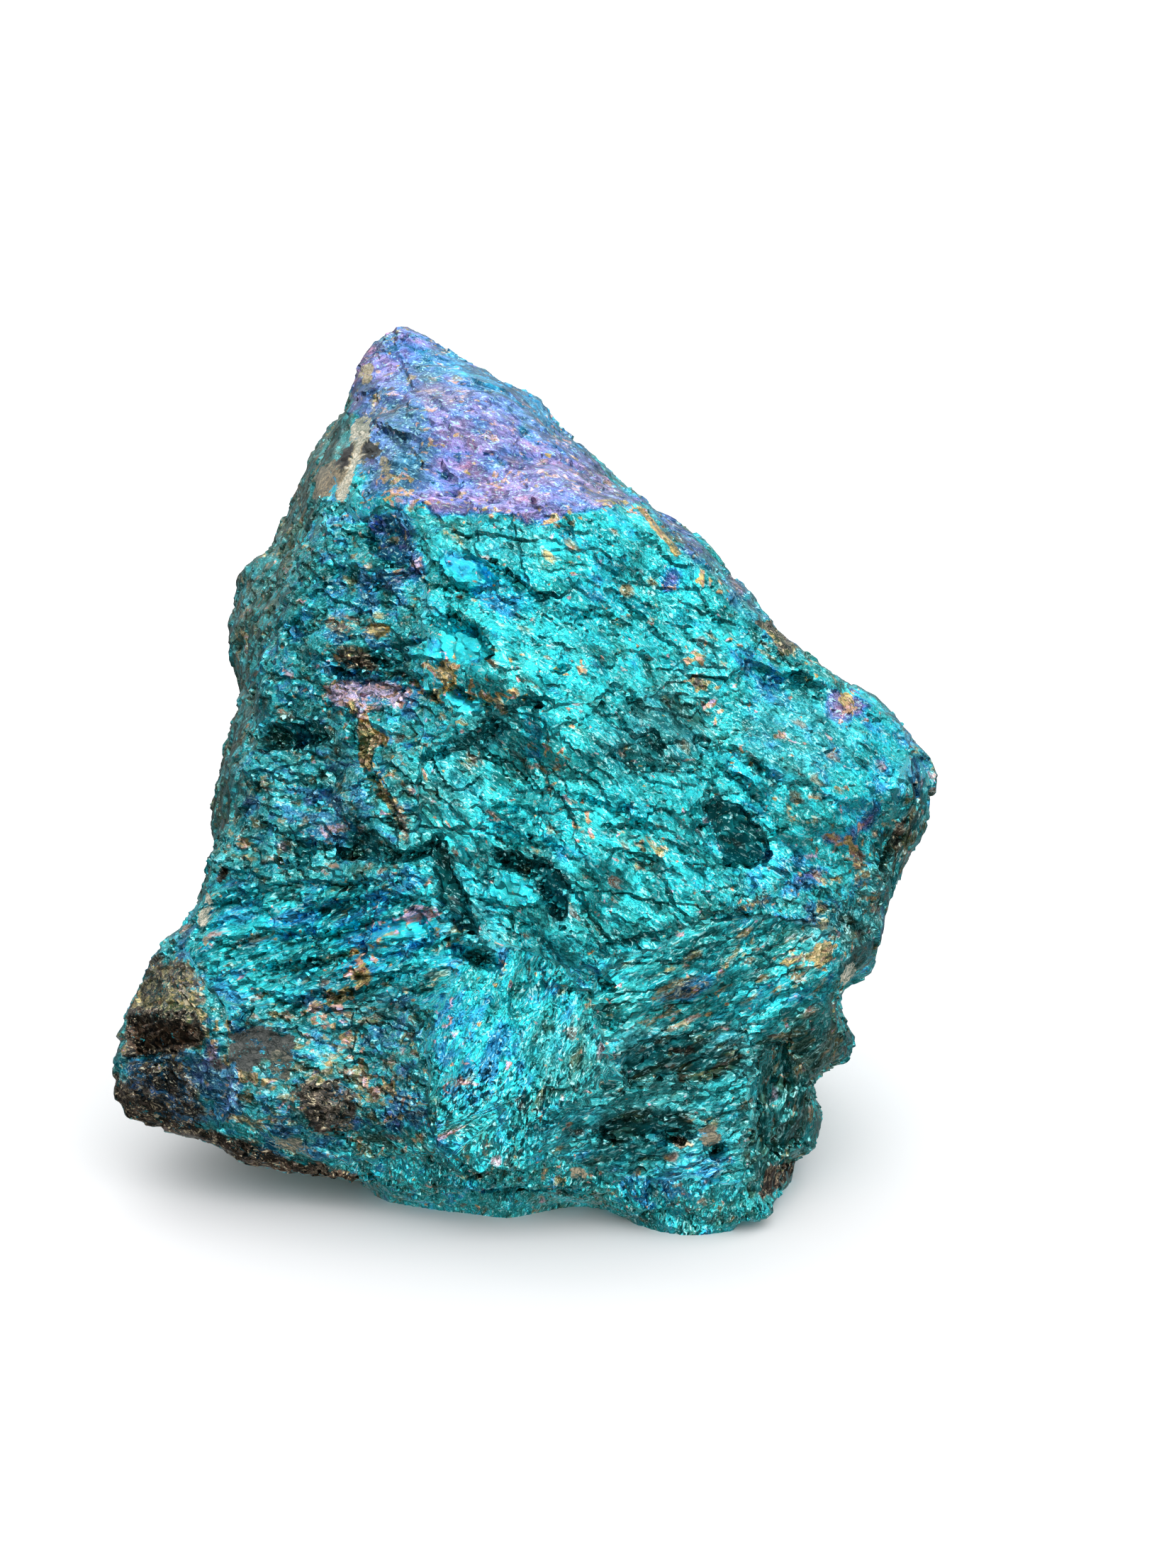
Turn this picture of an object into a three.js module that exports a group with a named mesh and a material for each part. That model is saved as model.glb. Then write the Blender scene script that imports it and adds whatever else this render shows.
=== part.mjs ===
// A lump of peacock ore: massive copper-iron sulphide broken from the vein. It is one solid stone.
// Millimetres, +Z up. The stone stands on a small flat spot at z = 0, under the middle of its bounding box.
// Its broad fracture face looks towards -Y and leans back; the tilted cap behind the crest rises to the peak.
import * as THREE from "three";
import { ConvexHull } from "three/addons/math/ConvexHull.js";
import { ImprovedNoise } from "three/addons/math/ImprovedNoise.js";
import { mergeVertices } from "three/addons/utils/BufferGeometryUtils.js";

// Driving dimensions.
const FACE_LEAN = 20; // degrees that the fracture face leans back from upright
const FLOOR = -25; // height of the flat spot below the middle of the fracture face
const MESH_DETAIL = 19; // cuts along each edge of the geodesic sphere that the skin is drawn on
const LUMP = { size: 8.5, height: 0.9 }; // broad unevenness of the break
const HACKLE = { size: 3.2, height: 0.6 }; // small hackly unevenness
const FLAT_FADE = 1.6; // height above the floor over which the grain dies out
const WEAR = 0.5; // share by which each point of the skin is drawn to the mean reach of its neighbours
const METAL = { color: 0x12868c, roughness: 0.35, metalness: 0.9 }; // tarnished teal

// The lobes that make up the stone. Each corner is [across, up the leaning face, out of the face],
// measured from the middle of the fracture face, and each lobe is the convex solid of its corners.
const LOBES = {
  body: [
    [-11.4, 28.7, -15], // the peak
    [-13.5, 25.8, -14],
    [-7.5, 25.9, -13.5], // back rim of the cap, falling to the right
    [-2.2, 21.9, -12],
    [1.6, 17.9, -10],
    [5.9, 13.7, -9],
    [-13.9, 16.2, -4], // crest between the cap and the fracture face
    [-8.4, 15.5, -1],
    [-2.2, 15.2, 0],
    [2.2, 15.4, -1.2],
    [15.6, 5.4, -3], // right shoulder
    [20.2, 2.0, -5], // right corner
    [20.1, -1.2, -5.5],
    [18.8, -4.8, -5.5],
    [16.5, 0, -2], // inner edge of the right bevel
    [13.4, -11.1, -1.5],
    [9.1, -22.3, -1.5],
    [8.7, -26.2, -3], // foot at the front right
    [5.6, -26.0, -2],
    [-1.3, -23.8, -3], // lower edge of the face
    [-4.9, -23.8, -3],
    [-12.5, -23.9, -4],
    [-12.0, -19.9, -0.5], // where the face begins to curve under
    [-4.9, -20.3, 0.3],
    [6.2, -21.7, 0],
    [-5.7, 6.1, 2], // middle of the face
    [0.4, 1.7, 3],
    [-2.2, -8.7, 3],
    [6.6, -6.6, 2],
    [-16.5, 13.5, -5], // left edge of the face
    [-18.7, 2.3, -4.5],
    [-21.8, -8.1, -5],
    [-14.4, 21.6, -18], // left flank
    [-17.9, 18.6, -21],
    [-20.6, 10.0, -21],
    [-22.0, -2.0, -17],
    [-21, -12, -22],
    [-9, 17, -24], // back
    [-14, 4, -30],
    [2, 5, -29],
    [10, -3, -26],
    [-16, -10, -30],
    [4, -13, -31],
    [13, -15, -24],
    [15, 1, -17],
    [-13, -24, -9], // rim of the flat spot
    [12, -23.5, -9],
    [12, -19, -22],
    [-10, -18, -27],
    [-17, -19.5, -20],
  ],
  // The low toe at the lower left.
  toe: [
    [-27.7, -17.8, -6], // its tip
    [-27.4, -14.2, -7],
    [-26.1, -10.6, -7],
    [-23.6, -8.4, -6],
    [-25.4, -20.0, -5.5],
    [-19.6, -21.7, -4.5],
    [-11, -23.5, -4],
    [-8, -23, -2],
    [-23.5, -14, -3.4],
    [-19, -17.5, -1.8],
    [-10, -10, 0],
    [-20, 0, -6],
    [-25, -15, -15],
    [-20, -19.5, -16],
    [-12, -20, -22],
    [-18, -6, -24],
  ],
  // Lumps of the left flank, behind the left edge of the face.
  leftBulge: [
    [-20.8, 13.8, -18],
    [-22.3, 10.8, -20],
    [-22.4, 8.2, -20],
    [-20.6, 5, -19],
    [-14, 18, -12],
    [-17, 4, -8],
    [-18, 12, -25],
    [-17.5, 4, -26],
    [-10, 12, -27],
    [-12, 0, -28],
  ],
  lowerBulge: [
    [-21.8, 3.0, -18],
    [-22.7, -1.0, -16],
    [-22.4, -5.0, -14],
    [-21.4, -9.0, -10],
    [-17, 6, -8],
    [-17, -14, -18],
    [-18, 2, -25],
    [-18, -8, -25],
    [-14, 2, -28],
  ],
  // Lumps of the right side, behind the right edge of the face.
  rightLump: [
    [16.3, -9.6, -6],
    [15.0, -14.6, -10],
    [14.4, -17.2, -13],
    [14.4, -12, -2.5],
    [17.4, -4, -8],
    [13, -19, -18],
    [10, -22, -4],
    [14, -4, -18],
  ],
  rightFoot: [
    [14.0, -19.4, -10],
    [13.7, -21.4, -9.5],
    [12.6, -23.6, -8],
    [10.4, -24.6, -5.5],
    [9, -24, -2.5],
    [12.6, -15, -4],
    [12, -18, -18],
  ],
};

// Hollows (sunk) and swellings (raised) of the break: where, how wide, and how deep or high in the middle.
const SWELLINGS = [
  { at: [-7.5, 7.5, 2], radius: 5, raised: 0.9 }, // bright slab above the crevice
  { at: [-4, 0.6, 3], radius: 3.6, raised: -0.9 }, // crevice
  { at: [-0.5, -4, 3], radius: 5, raised: 0.7 }, // brow below the crevice
  { at: [-4.4, -10, 3], radius: 4, raised: -1.2 }, // notch under the brow
  { at: [9.5, 1.8, 2], radius: 3.6, raised: 0.7 }, // ridge over the dark pocket
  { at: [9, -2.8, 2], radius: 3.4, raised: -1.2 }, // dark pocket
  { at: [-12.5, 10.5, 0], radius: 4, raised: -0.8 }, // trough along the upper left
  { at: [-16.5, 2.4, -3], radius: 4, raised: -0.9 }, // hollows at the left edge
  { at: [-23.8, -7.4, -7], radius: 3.6, raised: -1.7 }, // neck above the toe
  { at: [-27.5, -18, -6], radius: 5, raised: 1 }, // tip of the toe
  { at: [-10, -16, 0.5], radius: 5, raised: 0.5 }, // rise behind the lower edge
  { at: [12.8, 8.4, -6], radius: 5, raised: -1.1 }, // dip of the rim before the right shoulder
  { at: [0.2, -24.5, -4], radius: 5.5, raised: -1.3 }, // nick in the lower edge
  { at: [-14.8, 22.4, -16], radius: 4, raised: -1.3 }, // notch between the peak and the left flank
  { at: [16.4, -12.5, -4], radius: 4, raised: -0.9 }, // flat at the right edge
  { at: [-1.5, 22, -12], radius: 4, raised: 0.7 }, // rim of the cap
  { at: [-5, 10, -27], radius: 9, raised: -2.2 }, // scooped breaks of the back
  { at: [-14, -5, -29], radius: 7, raised: -1.8 },
  { at: [3, -6, -30], radius: 8, raised: 1 },
  { at: [13, -6, -20], radius: 6, raised: -1.4 },
];

// The middle of the stone, and a small solid about it that roots every lobe, so that the stone is one solid.
const CENTRE = [-4, -1, -12];
const CORE = [
  [2, 3, -12],
  [-10, 3, -12],
  [-4, -7, -12],
  [-4, -1, -5],
  [-4, -1, -20],
];

// From face measurements to the stone's own X, Y and Z.
const lean = THREE.MathUtils.degToRad(FACE_LEAN);
function fromFace([across, up, out]) {
  return new THREE.Vector3(
    across,
    up * Math.sin(lean) - out * Math.cos(lean),
    up * Math.cos(lean) + out * Math.sin(lean),
  );
}
const centre = fromFace(CENTRE);

// How far a lobe reaches from the centre in a direction: the nearest of the planes of its convex hull.
function reachOf(corners) {
  const hull = new ConvexHull().setFromPoints(
    [...corners, ...CORE].map(fromFace),
  );
  const planes = hull.faces.map(({ normal, constant }) => ({
    normal,
    depth: constant - normal.dot(centre),
  }));
  return (direction) => {
    let reach = Infinity;
    for (const { normal, depth } of planes) {
      const facing = normal.dot(direction);
      if (facing > 0) reach = Math.min(reach, depth / facing);
    }
    return reach;
  };
}

// The grain of the break at a point, in millimetres outwards.
const noise = new ImprovedNoise();
function grainAt(point, { size, height }) {
  return height * noise.noise(point.x / size, point.y / size, point.z / size);
}

// The hollows and swellings at a point, in millimetres outwards.
const swellings = SWELLINGS.map(({ at, radius, raised }) => ({
  middle: fromFace(at),
  radius,
  raised,
}));
function swellingAt(point) {
  let sum = 0;
  for (const { middle, radius, raised } of swellings) {
    const away = Math.min(1, point.distanceTo(middle) / radius);
    sum += raised * (1 - away ** 2) ** 2;
  }
  return sum;
}

// Both together. The grain dies out towards the flat spot.
function unevennessAt(point) {
  const rough = THREE.MathUtils.smoothstep(point.z - FLOOR, 0, FLAT_FADE);
  return (
    swellingAt(point) + rough * (grainAt(point, LUMP) + grainAt(point, HACKLE))
  );
}

// Each point's reach drawn towards the mean of its neighbours' reaches, as edges wear.
function evenOut(reaches, triangles) {
  const sums = reaches.map(() => 0);
  const counts = reaches.map(() => 0);
  for (let corner = 0; corner < triangles.length; corner++) {
    const next = corner % 3 === 2 ? corner - 2 : corner + 1;
    sums[triangles[corner]] += reaches[triangles[next]];
    counts[triangles[corner]] += 1;
  }
  return reaches.map((reach, i) =>
    THREE.MathUtils.lerp(reach, sums[i] / counts[i], WEAR),
  );
}

// The skin: a geodesic sphere whose points move out to the furthest lobe, and stop at the floor.
function stoneGeometry() {
  const sphere = new THREE.IcosahedronGeometry(1, MESH_DETAIL);
  sphere.deleteAttribute("normal");
  sphere.deleteAttribute("uv");
  const skin = mergeVertices(sphere);
  const place = skin.getAttribute("position");
  const directions = Array.from({ length: place.count }, (_, i) =>
    new THREE.Vector3().fromBufferAttribute(place, i).normalize(),
  );
  const lobes = Object.values(LOBES).map(reachOf);
  const sharp = directions.map((direction) =>
    Math.max(...lobes.map((reach) => reach(direction))),
  );
  const worn = evenOut(sharp, skin.getIndex().array);
  const point = new THREE.Vector3();
  directions.forEach((direction, i) => {
    point.copy(centre).addScaledVector(direction, worn[i]);
    let reach = worn[i] + unevennessAt(point);
    if (direction.z < 0)
      reach = Math.min(reach, (FLOOR - centre.z) / direction.z);
    point.copy(centre).addScaledVector(direction, reach);
    place.setXYZ(i, point.x, point.y, point.z);
  });
  // The origin goes to the middle of the underside of the bounding box.
  skin.computeBoundingBox();
  const { min, max } = skin.boundingBox;
  return skin.translate(-(min.x + max.x) / 2, -(min.y + max.y) / 2, -min.z);
}

const ore = new THREE.Mesh(
  stoneGeometry(),
  new THREE.MeshStandardMaterial(METAL),
);
ore.name = "ore_lump";

const stone = new THREE.Group();
stone.add(ore);

export default stone;
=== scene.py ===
"""Looks of the peacock ore lump: its broken metallic surface, its tarnish and the studio round it."""
import logging
import math
from dataclasses import dataclass, field
from enum import Enum
from typing import Any, Iterable

import bpy
import numpy as np
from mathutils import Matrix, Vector


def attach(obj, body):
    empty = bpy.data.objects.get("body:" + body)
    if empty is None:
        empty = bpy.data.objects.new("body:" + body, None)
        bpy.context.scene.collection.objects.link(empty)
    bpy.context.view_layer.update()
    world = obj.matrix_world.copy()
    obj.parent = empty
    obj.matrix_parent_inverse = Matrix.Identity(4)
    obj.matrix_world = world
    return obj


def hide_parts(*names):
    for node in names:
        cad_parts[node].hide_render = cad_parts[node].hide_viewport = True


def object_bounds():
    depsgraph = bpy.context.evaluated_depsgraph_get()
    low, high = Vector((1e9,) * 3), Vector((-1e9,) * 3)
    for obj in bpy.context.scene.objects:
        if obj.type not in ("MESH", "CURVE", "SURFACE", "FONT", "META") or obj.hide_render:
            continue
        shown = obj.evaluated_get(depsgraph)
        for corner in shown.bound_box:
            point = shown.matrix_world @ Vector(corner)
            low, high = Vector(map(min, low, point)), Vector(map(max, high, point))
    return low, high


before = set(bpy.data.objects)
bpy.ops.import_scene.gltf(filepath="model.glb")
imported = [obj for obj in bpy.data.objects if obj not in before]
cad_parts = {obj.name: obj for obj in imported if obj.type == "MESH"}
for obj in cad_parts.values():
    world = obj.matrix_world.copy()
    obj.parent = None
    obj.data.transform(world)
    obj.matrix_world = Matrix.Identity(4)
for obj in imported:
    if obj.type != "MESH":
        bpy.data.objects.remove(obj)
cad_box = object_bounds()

logging.basicConfig(level=logging.INFO, format="%(name)s: %(message)s")
log = logging.getLogger("peacock ore")

MM = 0.001
Array = np.ndarray
Point2 = tuple[float, float]
Colour = tuple[float, float, float]


# --- where things lie on the stone ---


@dataclass(frozen=True)
class BreakFace:
    """The broad fracture face, measured in millimetres across it, up it and out of it."""

    middle: tuple[float, float, float] = (3.69, -11.05, 25.0)
    lean: float = 20.0

    def axes(self) -> Array:
        """Returns the face's across, up and out directions as the rows of a 3 by 3 array."""
        s, c = math.sin(math.radians(self.lean)), math.cos(math.radians(self.lean))
        return np.array([[1.0, 0.0, 0.0], [0.0, s, c], [0.0, -c, s]])

    def measure(self, points: Array) -> Array:
        """Turns points of the stone into face measures.

        Args:
            points: positions in millimetres, one row each.

        Returns:
            One row of across, up and out for each point.
        """
        return (points - np.array(self.middle)) @ self.axes().T

    def direction(self, degrees: float) -> Array:
        """Returns the direction that lies in the face and is turned by degrees from across towards up."""
        across, up, _ = self.axes()
        return math.cos(math.radians(degrees)) * across + math.sin(math.radians(degrees)) * up


def smooth_between(low: float, high: float, values: Array) -> Array:
    """Returns 0 below low, 1 above high and a smooth rise between; low may be the larger, for a fall."""
    t = np.clip((values - low) / (high - low), 0.0, 1.0)
    return t * t * (3.0 - 2.0 * t)


def from_middle(across: Array, up: Array, middle: Point2, reach: Point2) -> Array:
    """Returns how far each place on the face lies from a middle: 1 on the oval of that reach."""
    return np.hypot((across - middle[0]) / reach[0], (up - middle[1]) / reach[1])


# --- noise ---


@dataclass
class Noise:
    """Lattice noise and broken cells in three dimensions, the same on every run."""

    seed: int
    shuffle: Array = field(init=False)
    slopes: Array = field(init=False)
    SIZE = 4096
    SCATTER = 0.62

    def __post_init__(self) -> None:
        """Draws the shuffled lattice and its slopes."""
        rng = np.random.default_rng(self.seed)
        self.shuffle = rng.permutation(self.SIZE)
        slopes = rng.normal(size=(self.SIZE, 3))
        self.slopes = slopes / np.linalg.norm(slopes, axis=1, keepdims=True)

    def key(self, corner: Array) -> Array:
        """Looks up the shuffled lattice.

        Args:
            corner: whole-numbered lattice corners, one row each.

        Returns:
            A shuffled whole number for each corner.
        """
        table, last = self.shuffle, self.SIZE - 1
        x = table[corner[:, 0] & last]
        y = table[(x + corner[:, 1]) & last]
        return table[(y + corner[:, 2]) & last]

    def wave(self, points: Array) -> Array:
        """Works out smooth noise with a wavelength of one unit.

        Args:
            points: positions in units of the wavelength.

        Returns:
            One value of about -0.7 to 0.7 for each point.
        """
        base = np.floor(points).astype(np.int64)
        part = points - base
        ease = part**3 * (part * (part * 6.0 - 15.0) + 10.0)
        total = np.zeros(len(points))
        for corner in np.ndindex(2, 2, 2):
            step = np.array(corner)
            weight = np.prod(np.where(step == 1, ease, 1.0 - ease), axis=1)
            slope = self.slopes[self.key(base + step)]
            total += weight * np.einsum("ij,ij->i", slope, part - step)
        return total

    def layered(self, points: Array, octaves: int = 3, gain: float = 0.5) -> Array:
        """Adds ever finer waves.

        Args:
            points: positions in units of the broadest wavelength.
            octaves: how many waves, each half as long as the one before.
            gain: each wave's height as a share of the one before.

        Returns:
            One value of about -1 to 1 for each point.
        """
        total, height = np.zeros(len(points)), 1.0
        for octave in range(octaves):
            total += height * self.wave(points * 2.0**octave + 17.3 * octave)
            height *= gain
        return total

    def patches(self, points: Array, length: float, shift: float, octaves: int) -> Array:
        """Returns layered noise whose broadest wave has a length; each shift gives noise of its own."""
        return self.layered(points / length + shift, octaves)

    def ridged(self, points: Array, octaves: int = 2) -> Array:
        """Works out noise with sharp crests.

        Args:
            points: positions in units of the broadest wavelength.
            octaves: how many waves, each about half as long as the one before.

        Returns:
            One value of about 0 to 1 for each point.
        """
        total, height, share = np.zeros(len(points)), 1.0, 0.0
        for octave in range(octaves):
            crest = 1.0 - np.abs(self.wave(points * 2.1**octave + 31.7 * octave)) * 2.0
            total += height * crest
            share += height
            height *= 0.5
        return total / share

    def warp(self, points: Array, amount: float) -> Array:
        """Returns the points, each shifted by up to about the amount, in units of the wavelength."""
        shift = [self.wave(points + 71.9 * (axis + 1)) for axis in range(3)]
        return points + amount * np.stack(shift, axis=1)

    def cells(self, points: Array) -> tuple[Array, Array]:
        """Finds the broken cell that each point is in.

        Args:
            points: positions in units of one cell.

        Returns:
            The cell's key, and the point's offset from the cell's seed.
        """
        base = np.floor(points).astype(np.int64)
        count = len(points)
        nearest = np.full(count, np.inf)
        offset, owner = np.zeros((count, 3)), np.zeros(count, dtype=np.int64)
        for corner in np.ndindex(3, 3, 3):
            lattice = base + np.array(corner) - 1
            key = self.key(lattice)
            away = points - (lattice + 0.5 + self.SCATTER * self.slopes[key])
            distance = np.einsum("ij,ij->i", away, away)
            closer = distance < nearest
            nearest = np.where(closer, distance, nearest)
            offset[closer] = away[closer]
            owner[closer] = key[closer]
        return owner, offset


# --- the break ---


@dataclass(frozen=True)
class Patch:
    """A patch of the face, given by the corners of its outline as across and up."""

    corners: tuple[Point2, ...]

    def depth(self, across: Array, up: Array, margin: float = 1.5) -> Array:
        """Measures how far inside the patch each place on the face lies.

        Args:
            across, up: measures of the face, in millimetres.
            margin: how far outside the patch is still measured.

        Returns:
            Millimetres to the outline, below 0 outside, and -margin wherever it would be less.
        """
        low, high = np.min(self.corners, axis=0) - margin, np.max(self.corners, axis=0) + margin
        near = (across > low[0]) & (across < high[0]) & (up > low[1]) & (up < high[1])
        x, y = across[near], up[near]
        away, inside = np.full(len(x), margin), np.zeros(len(x), dtype=bool)
        for (ax, ay), (bx, by) in zip(self.corners, (*self.corners[1:], self.corners[0])):
            share = ((x - ax) * (bx - ax) + (y - ay) * (by - ay)) / ((bx - ax) ** 2 + (by - ay) ** 2)
            share = np.clip(share, 0.0, 1.0)
            away = np.minimum(away, np.hypot(x - ax - share * (bx - ax), y - ay - share * (by - ay)))
            if ay != by:
                crosses = ((ay > y) != (by > y)) & (x < ax + (y - ay) * (bx - ax) / (by - ay))
                inside ^= crosses
        depth = np.full(len(across), -margin)
        depth[near] = np.where(inside, away, -away)
        return depth


def outline(*corners: Point2) -> Patch:
    """Returns the patch with these corners, each given as across and up."""
    return Patch(corners)


def oval(middle: Point2, reach: Point2, turn: float = 0.0) -> Patch:
    """Returns an oval patch.

    Args:
        middle: its middle, as across and up.
        reach: its two half widths.
        turn: degrees by which the first half width is turned from across towards up.

    Returns:
        The patch, with sixteen corners.
    """
    half_round = 8
    c, s = math.cos(math.radians(turn)), math.sin(math.radians(turn))
    turns = [corner * math.pi / half_round for corner in range(2 * half_round)]
    rim = [(reach[0] * math.cos(angle), reach[1] * math.sin(angle)) for angle in turns]
    return Patch(tuple((middle[0] + x * c - y * s, middle[1] + x * s + y * c) for x, y in rim))


@dataclass(frozen=True)
class Line:
    """A broken line over the face, given by its corners as across and up."""

    corners: tuple[Point2, ...]

    def distance(self, across: Array, up: Array) -> tuple[Array, Array, Array]:
        """Measures how far each place on the face lies from the line.

        Args:
            across, up: measures of the face, in millimetres.

        Returns:
            The distance, the side as -1 or 1 with 1 to the right of the line's run, and 1 at the middle of
            its run falling to 0 at its two ends.
        """
        here = np.stack([across, up], axis=1)
        best, side, run = np.full(len(here), np.inf), np.ones(len(here)), np.zeros(len(here))
        pairs = list(zip(self.corners[:-1], self.corners[1:]))
        lengths = [math.dist(a, b) for a, b in pairs]
        gone = 0.0
        for (start, end), length in zip(pairs, lengths):
            way = (np.array(end) - np.array(start)) / length
            from_start = here - np.array(start)
            along = np.clip(from_start @ way, 0.0, length)
            away = np.linalg.norm(from_start - along[:, None] * way, axis=1)
            right = np.where(from_start[:, 0] * way[1] - from_start[:, 1] * way[0] > 0, 1.0, -1.0)
            closer = away < best
            best = np.where(closer, away, best)
            side = np.where(closer, right, side)
            run = np.where(closer, (gone + along) / sum(lengths), run)
            gone += length
        return best, side, np.sqrt(np.clip(4.0 * run * (1.0 - run), 0.0, 1.0))


def stroke(*corners: Point2) -> Line:
    """Returns the line through these corners, each given as across and up."""
    return Line(corners)


@dataclass(frozen=True)
class Crack:
    """A thin dark crack, or a ridge where its depth is below 0."""

    line: Line
    depth: float = 0.35
    width: float = 0.16

    def height(self, across: Array, up: Array) -> Array:
        """Returns the crack's height at each place on the face, in millimetres."""
        away, _, middle = self.line.distance(across, up)
        return -self.depth * middle * np.exp(-((away / self.width) ** 2))


@dataclass(frozen=True)
class Scarp:
    """A step in the break. The side to the right of its line drops away and rises again further off."""

    line: Line
    drop: float = 0.5
    fade: float = 1.6
    riser: float = 0.15

    def height(self, across: Array, up: Array) -> Array:
        """Works out the step's height.

        Args:
            across, up: measures of the face, in millimetres.

        Returns:
            Millimetres for each place on the face.
        """
        away, side, middle = self.line.distance(across, up)
        fallen = smooth_between(-self.riser, self.riser, away * side)
        rising = np.exp(-np.maximum(away * side, 0.0) / self.fade)
        lip = 0.4 * np.exp(-np.maximum(-away * side, 0.0) / (0.5 * self.fade)) * (1.0 - fallen)
        return self.drop * middle * (lip - fallen * rising)


class Fall(float, Enum):
    """The direction in which a facet of the break falls off, as degrees from across towards up."""

    RIGHT = 0.0
    TO_LIGHT = 35.0
    LEFT = 180.0
    DOWN_RIGHT = -55.0
    DOWN = -90.0
    DOWN_LEFT = -125.0


@dataclass(frozen=True)
class Plate:
    """A facet of the break that leans its own way. One that falls downwards is a dark hollow, with shade
    painted into its colour.
    """

    patch: Patch
    fall: float
    drop: float
    lift: float = 0.0
    edge: float = 0.12

    def shade(self, across: Array, up: Array) -> Array:
        """Returns how far painted shade darkens each place on the face inside a plate that falls downwards.
        """
        # painted shade: a plate that falls downwards is darkened by up to 0.7
        dark = min(0.7, 0.5 * self.drop) if self.fall < 0.0 else 0.0
        return dark * smooth_between(-0.15, 0.25, self.patch.depth(across, up))

    def height(self, across: Array, up: Array) -> Array:
        """Works out the facet's height.

        Args:
            across, up: measures of the face, in millimetres.

        Returns:
            Millimetres for each place on the face.
        """
        way = np.array([math.cos(math.radians(self.fall)), math.sin(math.radians(self.fall))])
        reach = np.array(self.patch.corners) @ way
        fallen = (across * way[0] + up * way[1] - reach.min()) / (reach.max() - reach.min())
        held = smooth_between(-self.edge, self.edge, self.patch.depth(across, up))
        return held * (self.lift - self.drop * np.clip(fallen, 0.0, 1.0))


@dataclass(frozen=True)
class Bowl:
    """A dished hollow of the break, or a swelling where its sink is below 0."""

    middle: Point2
    reach: Point2
    sink: float
    turn: float = 0.0

    def height(self, across: Array, up: Array) -> Array:
        """Works out the hollow's height.

        Args:
            across, up: measures of the face, in millimetres.

        Returns:
            Millimetres for each place on the face.
        """
        turn = math.radians(self.turn)
        x, y = across - self.middle[0], up - self.middle[1]
        along = (x * math.cos(turn) + y * math.sin(turn)) / self.reach[0]
        beside = (y * math.cos(turn) - x * math.sin(turn)) / self.reach[1]
        return -self.sink * (1.0 - smooth_between(0.0, 1.0, np.hypot(along, beside)))


@dataclass(frozen=True)
class Dent:
    """A dent in the stone's side, seen square to the face; it reaches in as far as the stone is seen."""

    middle: Point2
    reach: Point2
    sink: float

    def height(self, across: Array, up: Array, out: Array) -> Array:
        """Returns the dent's height at each place, in millimetres."""
        away = from_middle(across, up, self.middle, self.reach)
        return -self.sink * (1.0 - smooth_between(0.0, 1.0, away)) * smooth_between(-19.0, -15.0, out)


@dataclass(frozen=True)
class Grain:
    """A field of flakes: where it lies, how its flakes run and stand, how their tarnish varies and how far
    they are darkened.
    """

    middle: Point2
    reach: Point2
    run: float
    flake: float = 2.6
    stretch: float = 2.0
    slope: float = 0.2
    step: float = 0.10
    bias: float = 0.6
    film: float = 0.77
    variety: float = 0.35
    bronzed: float = 0.2
    # how far the field is darkened towards grey: partly duller tarnish, partly painted shade on its hollows
    # and down-facing parts
    dim: float = 0.0
    crackle: float = 1.0
    catch: float = 0.0


POCKET = outline((6.3, -0.3), (7.4, -0.8), (8.4, -1.3), (9.7, -1.9), (10.3, -4.2), (9.0, -4.6),
                 (7.9, -4.6), (7.1, -2.6))
CAP_LEFT = outline((-13.6, 23.6), (-10.6, 23.8), (-9.4, 20.6), (-8.8, 17.6), (-10.0, 16.2),
                   (-12.4, 16.6), (-13.4, 19.0))
PINK_STREAK = outline((13.4, -3.2), (15.4, -2.4), (16.4, -1.4), (16.2, -2.0), (15.0, -3.1), (13.8, -3.5))
LOWER_CORNER = outline((9.4, -14.2), (12.4, -12.4), (15.4, -13.6), (13.2, -22.4), (9.4, -24.0),
                       (8.8, -22.4), (9.8, -18.0))

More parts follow.
